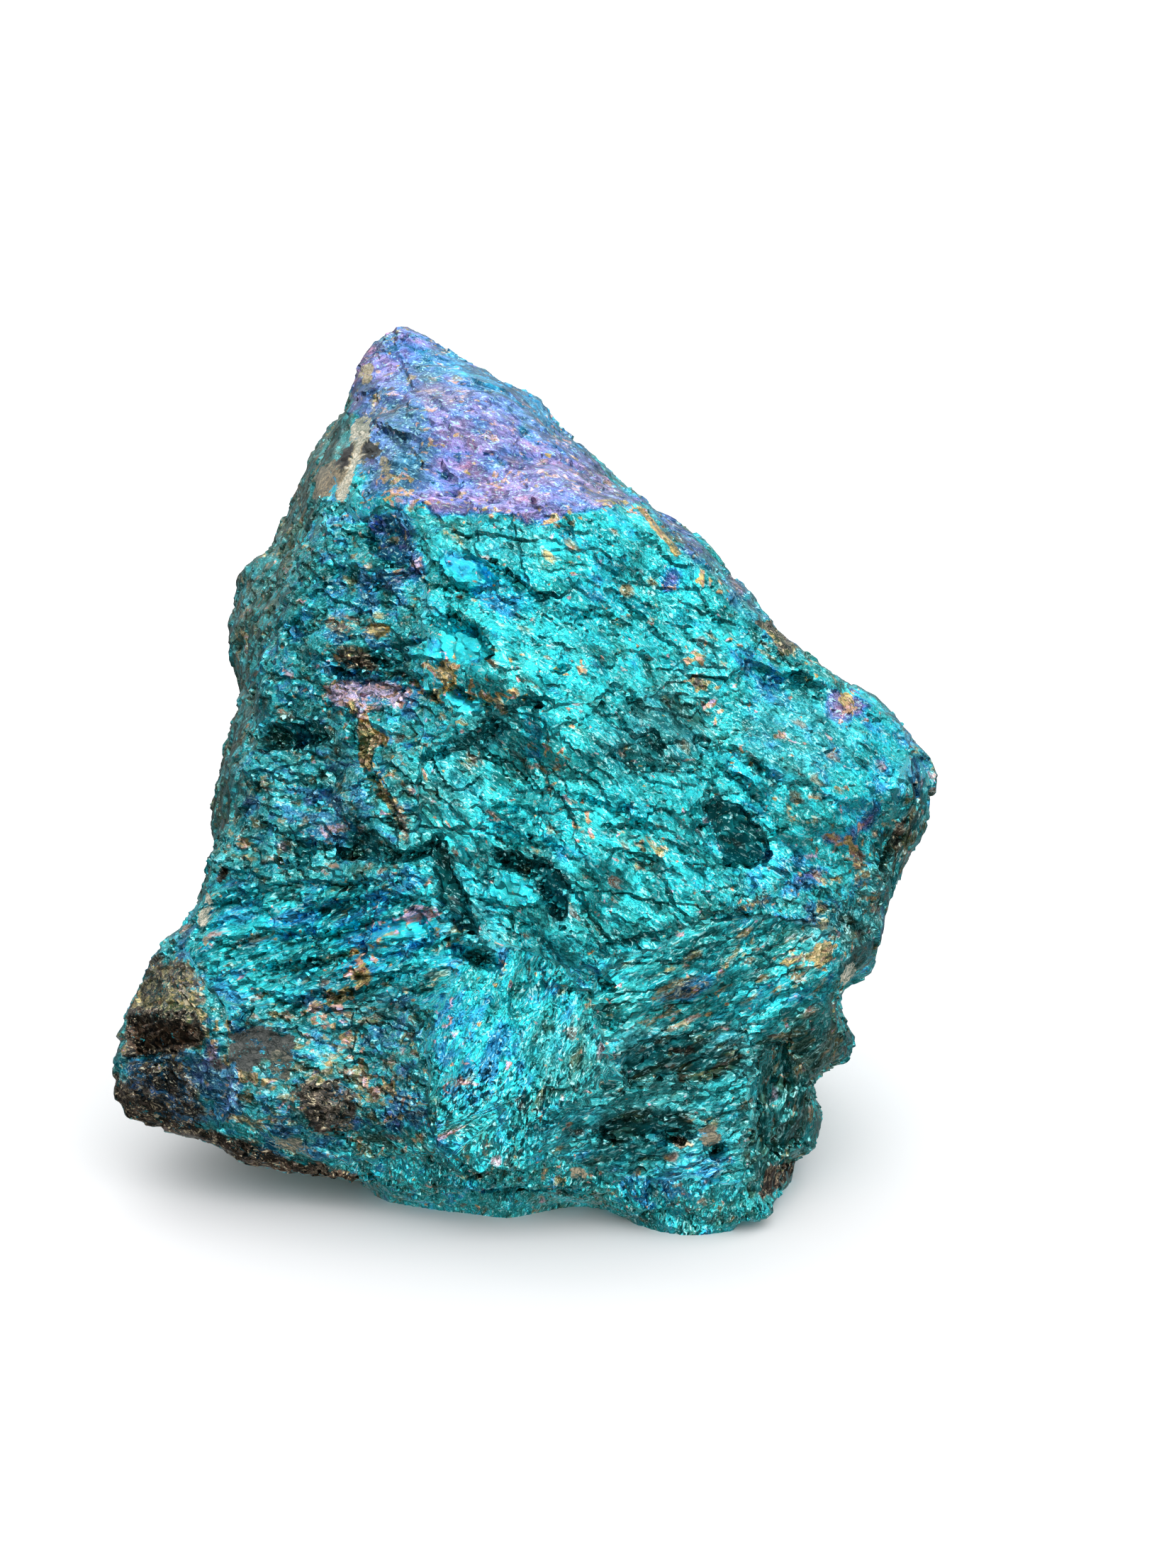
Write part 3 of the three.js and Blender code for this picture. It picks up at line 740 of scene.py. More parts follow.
FILM_STAINS = (
    # the cap's spots: blue-grey at the left, cyan near the peak
    Stain(CAP_LEFT, Film.PERIWINKLE + 0.05, 0.85, 0.9),
    spot(-9.3, 24.4, 0.9, 0.7, Film.CYAN - 0.04, 0.9, 0.3, turn=-20),
    spot(-7.4, 24.6, 1.6, 0.6, Film.AZURE, 0.8, turn=-35),
    spot(-10.2, 25.6, 2.2, 1.2, Film.PERIWINKLE + 0.03, 0.9, 0.5, turn=-30),
    spot(-12, 24.6, 0.8, 0.8, Film.LILAC + 0.03, 0.8),
    spot(1.7, 18.2, 1.9, 0.7, Film.CYAN + 0.03, 0.95, 0.25, turn=-56),
    spot(-5.3, 18.2, 0.8, 1.1, Film.NAVY + 0.04, 0.6, turn=-25),
    spot(-7.6, 17.2, 1.3, 0.4, Film.NAVY + 0.02, 0.4, turn=-10),
    spot(-10.6, 20.4, 1, 2.2, Film.NAVY + 0.08, 0.6, 0.7, turn=20),
    spot(-10.6, 17.8, 0.8, 1.2, Film.AZURE, 0.6),
    spot(-7, 21.2, 1.2, 0.5, Film.NAVY, 0.6, turn=-30),
    spot(-1, 16.6, 2.2, 0.5, Film.NAVY - 0.02, 0.4, turn=-6),
    spot(-10.8, 24, 0.6, 0.5, Film.NAVY, 0.6),
    spot(-3.8, 20.6, 0.4, 0.4, Film.CYAN, 0.7),
    spot(-13.2, 20.4, 0.5, 0.5, Film.CYAN, 0.9),
    # upper left of the face
    Stain(outline((-13, 15.2), (-10.8, 15.8), (-9.6, 14.8), (-9.8, 13.2), (-11, 12.4), (-12.4, 13)),
        Film.NAVY + 0.05, 0.9, 0.3),
    spot(-12.9, 11.8, 1, 0.7, Film.NAVY + 0.05, 0.8),
    spot(-14, 14.2, 1.4, 1.2, Film.AZURE + 0.02, 0.6, 0.5),
    spot(-10.2, 12.4, 0.9, 1.2, Film.AZURE - 0.05),
    Stain(outline((-14.4, 10.6), (-13.4, 11), (-12, 10.9), (-10.6, 11.6), (-9.8, 10.6), (-11.2, 9.9),
        (-13.2, 9.8)), Film.AZURE + 0.06, 0.9),
    spot(-11.8, 11.7, 1.1, 0.6, Film.AZURE, 0.9, turn=20),
    spot(-5.2, 10.6, 1.6, 0.9, Film.NAVY + 0.04, 0.55, 0.5, turn=-40),
    spot(-6.9, 12.1, 1.9, 0.9, Film.CYAN - 0.03, 1, 0.2, turn=-22),
    Stain(outline((-15.2, 6), (-12, 5.9), (-10.2, 6.2), (-9.4, 5), (-10.4, 4.2), (-12.6, 4.2),
        (-15, 4.4)), Film.AZURE - 0.03, 0.7, 0.5),
    spot(-9.9, 5.2, 0.7, 0.5, Film.PERIWINKLE, 1, 0.2, turn=-30),
    spot(-10.6, 4, 1.6, 0.6, Film.CYAN - 0.02, 0.9, turn=-10),
    Stain(outline((-10.5, 7.2), (-9, 8.1), (-7.5, 9), (-6.5, 8.9), (-5.9, 8), (-5.3, 7.3), (-6, 6.8),
        (-9, 6.9)), Film.CYAN + 0.02, 1, 0.2),
    spot(-7.2, 4.6, 1.3, 0.5, Film.CYAN - 0.01, turn=-22),
    # left part and its bands
    Stain(outline((-17.2, -0.6), (-14.4, 0.4), (-12.6, -0.6), (-12.8, -2.6), (-15.2, -3.4), (-17, -2.4)),
        Film.NAVY - 0.04, 0.4, 0.6),
    spot(-19.4, -1.1, 1.1, 0.4, Film.AZURE, 0.8, turn=35),
    spot(-15.6, -1.6, 1.3, 0.4, Film.AZURE, 0.6, turn=-30),
    spot(-14.4, -3.4, 1.4, 0.3, Film.LILAC, 0.5),
    Stain(outline((-12.4, -6.9), (-10, -6.5), (-8.4, -6.8), (-8.6, -7.7), (-10.2, -8), (-12.4, -7.6)),
        Film.CYAN - 0.03, 0.95, 0.3),
    Stain(outline((-19.8, -9), (-16.4, -8.8), (-13.6, -8), (-9.4, -8), (-8.8, -8.7), (-12, -9.2),
        (-15.8, -9.8), (-19, -9.9)), Film.CYAN - 0.04, 0.85),
    spot(-10.6, -8.2, 2.1, 0.65, Film.CYAN - 0.03, 0.95, 0.2, turn=6),
    spot(-10.6, -5.6, 2, 0.6, Film.NAVY + 0.06, 0.6, turn=5),
    spot(-13.4, -10.8, 1.6, 0.5, Film.NAVY, 0.5, turn=10),
    spot(-23, -9.2, 1, 1, Film.AZURE, 0.7),
    Stain(outline((-26.6, -15.8), (-23.8, -15.4), (-21.2, -15.6), (-19.4, -17.8), (-20.6, -19.2),
        (-24, -19.6), (-26.4, -17.8)), Film.NAVY + 0.03, 0.85, 0.4),
    spot(-20.6, -17, 1.4, 1.2, Film.NAVY, 0.6),
    spot(-21.4, -15.4, 0.3, 0.4, Film.LILAC - 0.05, 0.9),
    spot(-15.4, -15.2, 1.6, 0.4, Film.AZURE, 0.7, turn=10),
    spot(-10.6, -18.4, 1.6, 0.9, Film.PERIWINKLE, 0.5, 0.4, turn=10),
    spot(-13.2, -18.6, 0.6, 1.2, Film.NAVY + 0.04, 0.7),
    # the bright streak below the notch, and the blue stroke down the lower middle
    Stain(outline((-9.4, -9.9), (-6.4, -10), (-5.4, -11.6), (-6, -14), (-4.4, -17), (-6.4, -20),
        (-8.6, -17), (-8.6, -12)), Film.AZURE + 0.10, 0.9, 0.6),
    spot(-5, -14.6, 0.7, 1.6, Film.AZURE + 0.02, 0.6, turn=-15),
    spot(-6.6, -16.8, 1.6, 1.6, Film.AZURE + 0.04, 0.5, 0.5),
    spot(-6.6, -19.4, 1.9, 1.8, Film.CYAN - 0.03, 0.9, 0.5),
    # the middle and the right
    spot(-0.9, -4, 0.9, 0.5, Film.AZURE + 0.05, 0.8),
    spot(-4.2, -5.9, 1.4, 0.8, Film.CYAN + 0.03, 0.9, 0.2, turn=-8),
    spot(-1.9, -5.9, 0.3, 1.2, Film.AZURE + 0.02, 0.7, turn=30),
    spot(-2.9, 1.6, 0.3, 0.3, Film.AZURE - 0.03),
    spot(-1.6, 7.1, 0.8, 0.4, Film.AZURE, 0.8, turn=-15),
    spot(0.3, 11.8, 0.3, 1.6, Film.AZURE + 0.02, 0.6),
    spot(-3, 3.4, 1, 0.9, Film.AZURE + 0.08, 0.6),
    spot(9.2, 6.6, 1.6, 0.5, Film.AZURE - 0.03, 0.6, turn=-20),
    spot(10.4, 5.2, 1, 0.7, Film.AZURE + 0.03, 0.7, turn=-20),
    spot(16.4, 1.2, 3.2, 3.4, Film.AZURE + 0.06, 0.65, 1),
    spot(18.8, 0.1, 0.35, 0.7, Film.NAVY - 0.06, 0.9),
    spot(14.7, 4.5, 1.1, 0.8, Film.VIOLET - 0.06, 1, 0.15),
    Stain(PINK_STREAK, Film.PINK, 0.9),
    spot(11.9, -5.9, 2.4, 0.25, Film.NAVY + 0.03, 1, 0.2, turn=16),
    spot(12.8, -5.2, 1.8, 0.16, Film.PERIWINKLE, 1, 0.12, turn=16),
    spot(11.4, -4.6, 1.4, 0.3, Film.AZURE + 0.04, 0.9, 0.3, turn=18),
    spot(12.4, -7.4, 2.2, 0.7, Film.AZURE + 0.02, 0.6, 0.4, turn=14),
    spot(9.9, -4.4, 0.6, 0.7, Film.AZURE, 0.7, turn=-50),
    Stain(outline((14.6, -8.4), (15.4, -5.6), (16.4, -4.4), (17.6, -4.8), (16.8, -9.2), (15.2, -11.6),
        (14, -10.6)), Film.GREEN - 0.03, 0.9, 0.3),
    spot(7, -2.8, 0.25, 0.9, Film.AZURE + 0.05, 0.9, turn=20),
    spot(10.8, -11.2, 1.4, 0.4, Film.AZURE, 0.7, turn=30),
    spot(5.4, -11.7, 1.5, 0.35, Film.LILAC, 0.5, turn=18),
    spot(-1, -15.2, 2.4, 2.4, Film.TEAL + 0.05, 0.8, 1),
    spot(6, -22, 2.2, 0.9, Film.AZURE, 0.6, 0.5, turn=15),
    Stain(LOWER_CORNER, Film.GREEN - 0.02, 1, 0.2),
    spot(12.8, -15.2, 1.8, 1.8, Film.GREEN + 0.05, 1, 0.3),
    spot(3.6, -22.8, 2.4, 1, Film.NAVY + 0.06, 0.5, 0.5),
    spot(8.5, 11.4, 0.3, 0.9, Film.PINK, 0.8, turn=25),
    Stain(outline((3.4, 16.2), (5.4, 15.4), (7, 13.6), (6.2, 12.8), (4.8, 14.2)),
        Film.VIOLET + 0.04, 0.9, 0.15),
    Stain(outline((6.2, 12.8), (7.2, 13.4), (9.4, 10.6), (10.4, 9.4), (9.6, 8.9), (8.4, 10.4)),
        Film.AZURE + 0.06, 0.8, 0.15),
    spot(4.6, 11.4, 0.2, 0.6, Film.PINK, 0.9, turn=-20),
)

BRONZE_STAINS = (
    spot(-12, 8.7, 0.9, 0.5, Bronze.GOLD - 0.08, 0.8),
    Stain(outline((-14.8, 7.4), (-13.8, 8), (-12.4, 7.4), (-11.8, 6.4), (-13.6, 6.3)),
        Bronze.BROWN - 0.05, 0.7),
    spot(-13.7, 7.7, 0.4, 0.25, Bronze.OLIVE, 0.8),
    spot(-9, 6.8, 0.5, 0.4, Bronze.GREY + 0.05, 0.5),
    spot(-7.9, 6.3, 0.6, 0.55, Bronze.GOLD - 0.08, 0.85),
    Stain(outline((-9.1, 5), (-8.6, 5.4), (-7.6, 5.7), (-7.3, 5.4), (-8.4, 4.9), (-7.7, 4.4),
        (-8.8, 4.5)), Bronze.GOLD - 0.12, 0.9, 0.12),
    spot(-5.1, 4.5, 0.9, 0.5, Bronze.GOLD - 0.12, 0.6, turn=-35),
    spot(-4.1, 5.1, 0.35, 0.4, Bronze.GOLD, 0.6),
    spot(-10.8, 4.6, 0.6, 0.4, Bronze.ORANGE - 0.05, 0.7),
    Stain(outline((-13.3, 4.3), (-12.7, 4), (-12.2, 3.1), (-11.2, 2.7), (-11.3, 2.1), (-12, 2.3),
        (-12.1, 0.9), (-13, 1), (-13.1, 3)), Bronze.GOLD + 0.02, 1, 0.15),
    Stain(outline((-12.2, 0.3), (-11.7, 0.1), (-11.1, -0.9), (-10.5, -1.3), (-10.9, -1.6), (-11.6, -1)),
        Bronze.GOLD, 0.9, 0.12),
    spot(-10.5, -2, 0.5, 1.4, Bronze.GREY, 0.6, turn=15),
    spot(-10.5, 1.4, 0.3, 0.8, Bronze.BROWN + 0.1, 0.7, turn=10),
    spot(-19.8, -3.4, 0.6, 0.35, Bronze.COPPER, 0.7),
    spot(-21, -5.2, 0.3, 0.8, Bronze.BLACK, 0.8, turn=-30),
    spot(-12.7, -10.9, 0.8, 0.6, Bronze.GOLD - 0.03, 0.8, turn=-20),
    spot(-13.2, -9.6, 0.8, 0.18, Bronze.GOLD, 0.8, turn=25),
    spot(-14.1, -12.1, 0.35, 0.3, Bronze.GOLD + 0.05, 0.9),
    spot(-15.4, -12.7, 0.4, 0.5, Bronze.COPPER, 0.75),
    spot(-14.9, -13.6, 0.3, 0.5, Bronze.COPPER + 0.05, 0.75),
    spot(-13.7, -13.2, 0.5, 0.3, Bronze.COPPER, 0.6),
    spot(-13.7, -14.4, 0.5, 0.4, Bronze.COPPER - 0.08, 0.7),
    Stain(outline((-26, -9.8), (-23.4, -10), (-21.8, -11), (-21.8, -12.6), (-24.4, -13), (-27, -12.8)),
        Bronze.OLIVE - 0.08, 0.6, 0.3),
    Stain(outline((-26.8, -12.7), (-24.2, -12.4), (-21.8, -12.9), (-21.9, -13.5), (-24.2, -13.5),
        (-26.8, -13.5)), Bronze.GOLD - 0.12, 0.7, 0.2),
    Stain(outline((-26.8, -13.3), (-24.2, -13.2), (-22, -13.5), (-21.5, -14), (-22.1, -15),
        (-24.2, -15.5), (-26.8, -15.9)), Bronze.BLACK + 0.14, 0.85, 0.4),
    Stain(outline((-27, -15.7), (-23, -15.2), (-22, -17.2), (-21.6, -19.4), (-24, -20), (-27, -18.6)),
        Bronze.BLACK + 0.06, 0.55, 0.8),
    Stain(outline((-27.6, -16.4), (-26.2, -17.4), (-23.5, -19), (-20.5, -20.1), (-17, -21.2),
        (-13, -22.2), (-13, -24), (-20, -23.4), (-27.6, -21)), Bronze.BLACK + 0.12, 0.75, 0.5),
    spot(-18.6, -19.4, 2, 0.5, Bronze.OLIVE, 0.5, 0.4, turn=-14),
    spot(-19.2, -16.8, 0.8, 0.4, Bronze.GOLD + 0.05, 0.6, turn=-30),
    spot(-21.6, -17.4, 0.4, 0.25, Bronze.COPPER, 0.5, turn=30),
    Stain(outline((-16.9, -17.2), (-16, -16.4), (-14, -16.4), (-13, -17.6), (-13, -19.4), (-14.2, -20.4),
        (-16, -19.6)), Bronze.BROWN - 0.08, 0.72, 0.8),
    spot(-15.2, -16.3, 0.9, 0.2, Bronze.GOLD - 0.08, 0.8, turn=5),
    spot(-14, -18.9, 0.7, 0.5, Bronze.BROWN + 0.05, 0.7),
    spot(-11.4, -17.3, 1, 0.3, Bronze.BROWN + 0.08, 0.85, turn=8),
    spot(-12.4, -17.2, 0.25, 0.4, Bronze.COPPER, 0.7, turn=30),
    spot(-10.6, -18.8, 0.9, 0.3, Bronze.GOLD + 0.08, 0.5, turn=-20),
    spot(-10.2, -11.9, 0.4, 0.6, Bronze.GREY + 0.05, 0.6, turn=20),
    spot(-4.7, -10.6, 0.3, 0.5, Bronze.GREY + 0.1, 0.6, turn=10),
    spot(-6.6, -13.7, 0.15, 0.4, Bronze.GOLD, 0.7),
    spot(-3.3, -8.6, 0.8, 0.4, Bronze.GREY, 0.55, turn=-15),
    spot(-7.4, -3.8, 0.3, 0.4, Bronze.BROWN + 0.15, 0.7),
    spot(-8.4, -8.3, 0.3, 0.3, Bronze.GOLD - 0.1, 0.7),
    spot(-0.3, 6.4, 0.35, 0.25, Bronze.GOLD + 0.06, 0.95, turn=-30),
    spot(-0.6, 4.1, 0.25, 0.35, Bronze.COPPER, 0.8, turn=20),
    spot(-0.9, -1, 0.35, 0.25, Bronze.COPPER - 0.05, 0.8),
    spot(-0.3, -2.5, 0.75, 0.25, Bronze.GOLD + 0.08, 0.85, turn=-25),
    spot(-2.2, -0.3, 0.35, 0.3, Bronze.BROWN + 0.12, 0.8),
    spot(-3.2, 2.2, 0.4, 0.15, Bronze.OLIVE, 0.8),
    spot(-2.2, 2.2, 0.18, 0.55, Bronze.BROWN + 0.15, 0.75, turn=-5),
    spot(-1.6, 0.8, 0.35, 0.6, Bronze.GREY + 0.05, 0.5, turn=20),
    spot(-7.3, 10.5, 0.25, 0.25, Bronze.BROWN, 0.9),
    spot(-6.3, 10.4, 0.3, 0.2, Bronze.GOLD - 0.05, 0.8),
    spot(2.1, 9.5, 0.45, 0.25, Bronze.BROWN + 0.12, 0.7, turn=-20),
    spot(2.1, 1.8, 0.22, 0.4, Bronze.BROWN + 0.08, 0.8),
    spot(1, 2.9, 0.2, 0.15, Bronze.GOLD + 0.05, 0.8),
    spot(4.2, -3.7, 0.45, 0.3, Bronze.GOLD + 0.02, 0.7, turn=20),
    spot(7.3, 4.1, 0.4, 0.25, Bronze.COPPER - 0.1, 0.7),
    spot(6.2, 5.8, 0.4, 0.4, Bronze.BROWN + 0.05, 0.8),
    spot(6.6, 7.6, 0.15, 0.5, Bronze.GOLD, 0.8),
    spot(7.4, 5.5, 0.3, 0.3, Bronze.BROWN + 0.08, 0.6),
    spot(10.9, 2.8, 0.35, 0.2, Bronze.COPPER + 0.04, 0.9, turn=-20),
    spot(12.8, -0.1, 0.2, 0.25, Bronze.BROWN - 0.1, 0.95),
    spot(13.4, 1.1, 0.25, 0.4, Bronze.COPPER, 0.45, turn=-20),
    spot(6.1, -5.9, 0.25, 0.2, Bronze.COPPER, 0.6),
    spot(9.4, -6.8, 1.2, 0.3, Bronze.GREY + 0.05, 0.75, turn=16),
    spot(10.6, -5.2, 0.9, 0.25, Bronze.COPPER - 0.14, 0.6, turn=18),
    spot(14, -5.4, 0.9, 0.3, Bronze.OLIVE, 0.6, turn=20),
    spot(12.8, -7.6, 1.4, 0.3, Bronze.GREY + 0.06, 0.55, turn=16),
    spot(13.2, -6.9, 0.4, 0.6, Bronze.GREY + 0.02, 0.8),
    spot(13.3, -7.9, 0.5, 0.5, Bronze.OLIVE, 0.7),
    spot(14.8, 4.9, 0.45, 0.5, Bronze.GOLD + 0.05, 1, 0.1),
    spot(14.9, 4.2, 0.45, 0.2, Bronze.ORANGE, 0.9, 0.1),
    Stain(outline((15.2, -3.4), (15.9, -4.2), (15.7, -5.4), (15.2, -6.6), (14.9, -5.6)),
        Bronze.BROWN + 0.15, 0.75),
    Stain(outline((17.4, -2.2), (18.4, -1.6), (18, -4), (17, -4.6)), Bronze.OLIVE - 0.2, 0.7),
    Stain(outline((12.3, -9.7), (12.9, -8.9), (13.9, -9), (14, -9.9), (13.2, -10.5), (12.8, -10.5)),
        Bronze.GOLD - 0.03, 0.85, 0.15),
    Stain(outline((10.6, -10.2), (11.4, -9.7), (12.3, -9.5), (12.2, -10), (11.2, -10.3)),
        Bronze.GOLD - 0.15, 0.85, 0.15),
    spot(13.5, -11, 0.7, 0.4, Bronze.BROWN + 0.15, 0.55, turn=35),
    Stain(outline((3.4, -11.8), (4.4, -10.9), (5.4, -10), (6.4, -9.6), (7, -10), (5.8, -10.3),
        (4.8, -11.2), (3.8, -12)), Bronze.COPPER - 0.1, 0.65),
    spot(4.6, -12.6, 2, 0.3, Bronze.PEARL - 0.1, 0.5, turn=14),
    spot(5.6, -11.4, 2.6, 1, Bronze.GREY + 0.08, 0.45, 0.6, turn=18),
    spot(10.4, -11.9, 0.9, 0.3, Bronze.COPPER - 0.12, 0.6, turn=40),
    spot(11.2, -13.4, 0.5, 0.3, Bronze.COPPER - 0.05, 0.6, turn=15),
    spot(11, -14.3, 1.2, 0.5, Bronze.OLIVE - 0.12, 0.5, turn=-10),
    spot(4.7, -13.2, 0.25, 0.2, Bronze.GOLD, 0.8),
    spot(2.2, -12.8, 0.3, 0.25, Bronze.GOLD - 0.05, 0.6),
    Stain(outline((4.5, -19.8), (5.6, -20), (6.1, -20.6), (5.2, -20.6), (4.6, -20.3)),
        Bronze.BROWN - 0.05, 0.9, 0.12),
    spot(5.6, -15, 1.2, 0.4, Bronze.OLIVE - 0.3, 0.6),
    Stain(outline((10, -21.6), (12.4, -21.8), (12.6, -22.6), (9.6, -24)), Bronze.BLACK + 0.1, 0.7, 0.3),
    # pearly pink and lilac spots
    spot(-9.6, -7.2, 0.9, 0.4, Bronze.PEARL, 0.85, turn=10),
    spot(-13.7, 5.2, 1.3, 0.8, Bronze.PEARL - 0.08, 0.85),
    spot(-12.4, 4.8, 2.4, 0.9, Bronze.PEARL, 0.45, 0.5),
    spot(-14, 9.1, 1.3, 0.9, Bronze.OLIVE - 0.08, 0.5),
    spot(-11.5, 5.3, 1.4, 0.6, Bronze.PEARL, 0.8, turn=-20),
    spot(-14.6, -2.5, 1.5, 0.5, Bronze.PEARL - 0.06, 0.5),
    spot(-9.7, 12.5, 0.4, 0.4, Bronze.PEARL, 0.8),
    spot(-10.9, 11.6, 1, 0.4, Bronze.PEARL, 0.5, turn=30),
    spot(-21.4, -15.3, 0.3, 0.4, Bronze.PEARL, 0.9),
    Stain(PINK_STREAK, Bronze.PEARL - 0.07, 0.7),
    spot(8.5, 11.4, 0.25, 0.8, Bronze.PEARL - 0.05, 0.8, turn=25),
    spot(12.2, -4.2, 1.8, 0.3, Bronze.PEARL, 0.5, turn=14),
    spot(-7.6, -18.6, 0.5, 1, Bronze.PEARL, 0.5, turn=10),
    spot(-7.2, 23, 0.5, 0.3, Bronze.PEARL - 0.06, 0.6, turn=-30),
    spot(-9.2, 22, 0.6, 0.4, Bronze.PEARL - 0.05, 0.5, turn=-40),
    # gold along the crest and the rim
    spot(-11.2, 17, 0.3, 0.8, Bronze.GOLD - 0.1, 0.5, turn=10),
    spot(-8.4, 15.9, 0.9, 0.25, Bronze.GOLD, 0.5, turn=-15),
    spot(-4.5, 15.5, 0.7, 0.2, Bronze.GOLD - 0.05, 0.5, turn=-5),
    spot(-2, 15.1, 0.3, 0.3, Bronze.GOLD, 0.7),
    spot(1.2, 16.1, 0.9, 0.2, Bronze.GOLD - 0.03, 0.7, turn=5),
    Stain(outline((2.8, 15.9), (3.4, 15.7), (4.4, 14.2), (5.4, 13), (5, 12.9), (4, 14), (3.2, 15.1)),
        Bronze.GOLD, 0.8, 0.12),
    spot(12, 7.2, 0.4, 0.25, Bronze.GOLD, 0.7, turn=-20),
    Stain(outline((9.4, 9.3), (10.6, 9.4), (12, 7.9), (11.4, 7.2), (10.4, 8)),
        Bronze.GREY + 0.05, 0.8, 0.15),
    spot(-12.4, 22.4, 0.5, 0.9, Bronze.GOLD - 0.2, 0.5, turn=-20),
    # specks on the cap
    spot(-7.7, 23.5, 0.35, 0.3, Bronze.ORANGE, 0.6),
    spot(-8.3, 23, 0.3, 0.25, Bronze.ORANGE, 0.4),
    spot(-11, 22, 0.25, 0.3, Bronze.COPPER, 0.6),
    spot(-5.7, 20.3, 0.3, 0.25, Bronze.ORANGE, 0.55),
    spot(-6.9, 20.6, 0.35, 0.2, Bronze.ORANGE, 0.4),
    spot(-1.1, 19.8, 0.35, 0.3, Bronze.COPPER, 0.5),
    spot(-4.7, 18.7, 0.35, 0.25, Bronze.GOLD, 0.5),
    spot(-6.2, 17.4, 0.3, 0.3, Bronze.GOLD, 0.5),
    spot(-3.5, 17.2, 0.35, 0.35, Bronze.GOLD, 0.35),
    spot(-8.3, 19.1, 0.2, 0.2, Bronze.COPPER, 0.5),
)


@dataclass(frozen=True)
class Dust:
    """Grains of golden tarnish strewn along a line."""

    line: Line
    width: float
    tone: float
    grain: float = 0.45
    amount: float = 0.8

    def share(self, across: Array, up: Array, chance: Array) -> Array:
        """Works out how far the grains take over.

        Args:
            across, up: measures of the face, in millimetres.
            chance: noise of about -0.7 to 0.7 at each place.

        Returns:
            One value from 0 to the amount for each place.
        """
        away, _, _ = self.line.distance(across, up)
        near = np.exp(-((away / self.width) ** 2))
        return self.amount * smooth_between(0.42, 0.56, chance + 0.42 * near)


DUST = (
    Dust(stroke((-15, 5.4), (-12, 5.2), (-9.8, 5.3)), 0.8, Bronze.PEARL, 0.5, 0.7),
    Dust(stroke((-12.4, -8), (-10, -7.4), (-8.6, -7.2)), 0.5, Bronze.PEARL, 0.4, 0.7),
    Dust(stroke((-15.6, -2.9), (-13, -2.6)), 0.8, Bronze.ORANGE, 0.4, 0.6),
    Dust(stroke((-8, -13), (-7, -16), (-8.2, -19.6)), 0.7, Bronze.PEARL, 0.35, 0.6),
    Dust(stroke((-13, 16), (-11, 16.4), (-8.4, 15.8), (-5, 15.3), (-2.6, 14.8), (-0.6, 15.4), (2.4, 16)),
        0.5, Bronze.GOLD, 0.32, 0.55),
    Dust(stroke((2.6, 15.9), (3.4, 15.2), (4.4, 14), (5.4, 12.9), (8, 10.6)), 0.4, Bronze.GOLD + 0.03),
    Dust(stroke((-12.2, 17.6), (-10.4, 17), (-9.6, 18.4), (-8.6, 19.6)),
        0.9, Bronze.GOLD + 0.1, 0.3, 0.6),
    Dust(stroke((-12.2, 21), (-11, 23.6), (-8.2, 23.4), (-5.6, 20.4), (-1, 19.8)),
        1, Bronze.ORANGE, 0.35, 0.5),
    Dust(stroke((-5, 17.4), (-2.6, 17.6), (0, 17)), 1.2, Bronze.PEARL - 0.1, 0.3, 0.6),
    Dust(stroke((-13.2, 4.4), (-12.4, 3), (-12.6, 1), (-11.8, 0), (-10.8, -1.4)),
        0.6, Bronze.GOLD - 0.04),
    Dust(stroke((-9.4, 5.4), (-8, 6.2), (-6, 4.8), (-4.2, 5)), 0.7, Bronze.GOLD - 0.08),
    Dust(stroke((-15.6, -12.6), (-14, -12.2), (-13.2, -11), (-12.6, -9.6)), 0.9, Bronze.COPPER - 0.05),
    Dust(stroke((-15.4, -13.4), (-13.8, -14.2), (-12.4, -16.8), (-10.6, -17.4)), 0.8, Bronze.COPPER),
    Dust(stroke((11.4, -9.8), (13, -9.6), (14, -9.2)), 0.7, Bronze.GOLD),
    Dust(stroke((-26, -12.6), (-23, -12.6), (-19.4, -16.6), (-17, -17.4)), 0.7, Bronze.GOLD - 0.1),
    Dust(stroke((13.4, -3), (15.2, -3.4), (16, -6.4)), 0.8, Bronze.COPPER - 0.12, 0.4, 0.6),
    Dust(stroke((6, 7.4), (6.4, 5.8), (7.2, 4.2)), 0.7, Bronze.COPPER - 0.1, 0.4, 0.7),
    Dust(stroke((-2.4, 2.2), (-1.6, 0.6)), 0.5, Bronze.COPPER - 0.2, 0.35, 0.6),
)


@dataclass(frozen=True)
class Gangue:
    """A patch where duller rock, not ore, lies bare, between two heights out of the face."""

    patch: Patch
    out_of_face: Point2
    tone: float
    strength: float = 1.0

    def share(self, across: Array, up: Array, out: Array, ragged: Array) -> Array:
        """Works out how far the rock takes over.

        Args:
            across, up, out: measures of the face, in millimetres.
            ragged: how far the rim is moved by chance.

        Returns:
            One value from 0 to the strength for each place.
        """
        low, high = self.out_of_face
        deep = smooth_between(low - 0.5, low + 0.5, out) * smooth_between(high + 0.5, high - 0.5, out)
        depth = self.patch.depth(across, up) + 0.7 * ragged
        return self.strength * deep * smooth_between(-0.25, 0.2, depth)


class Rock(float, Enum):
    """The tone of bare rock."""

    BLACK = 0.0
    GREY = 0.4
    TAN = 0.7
    CREAM = 1.0


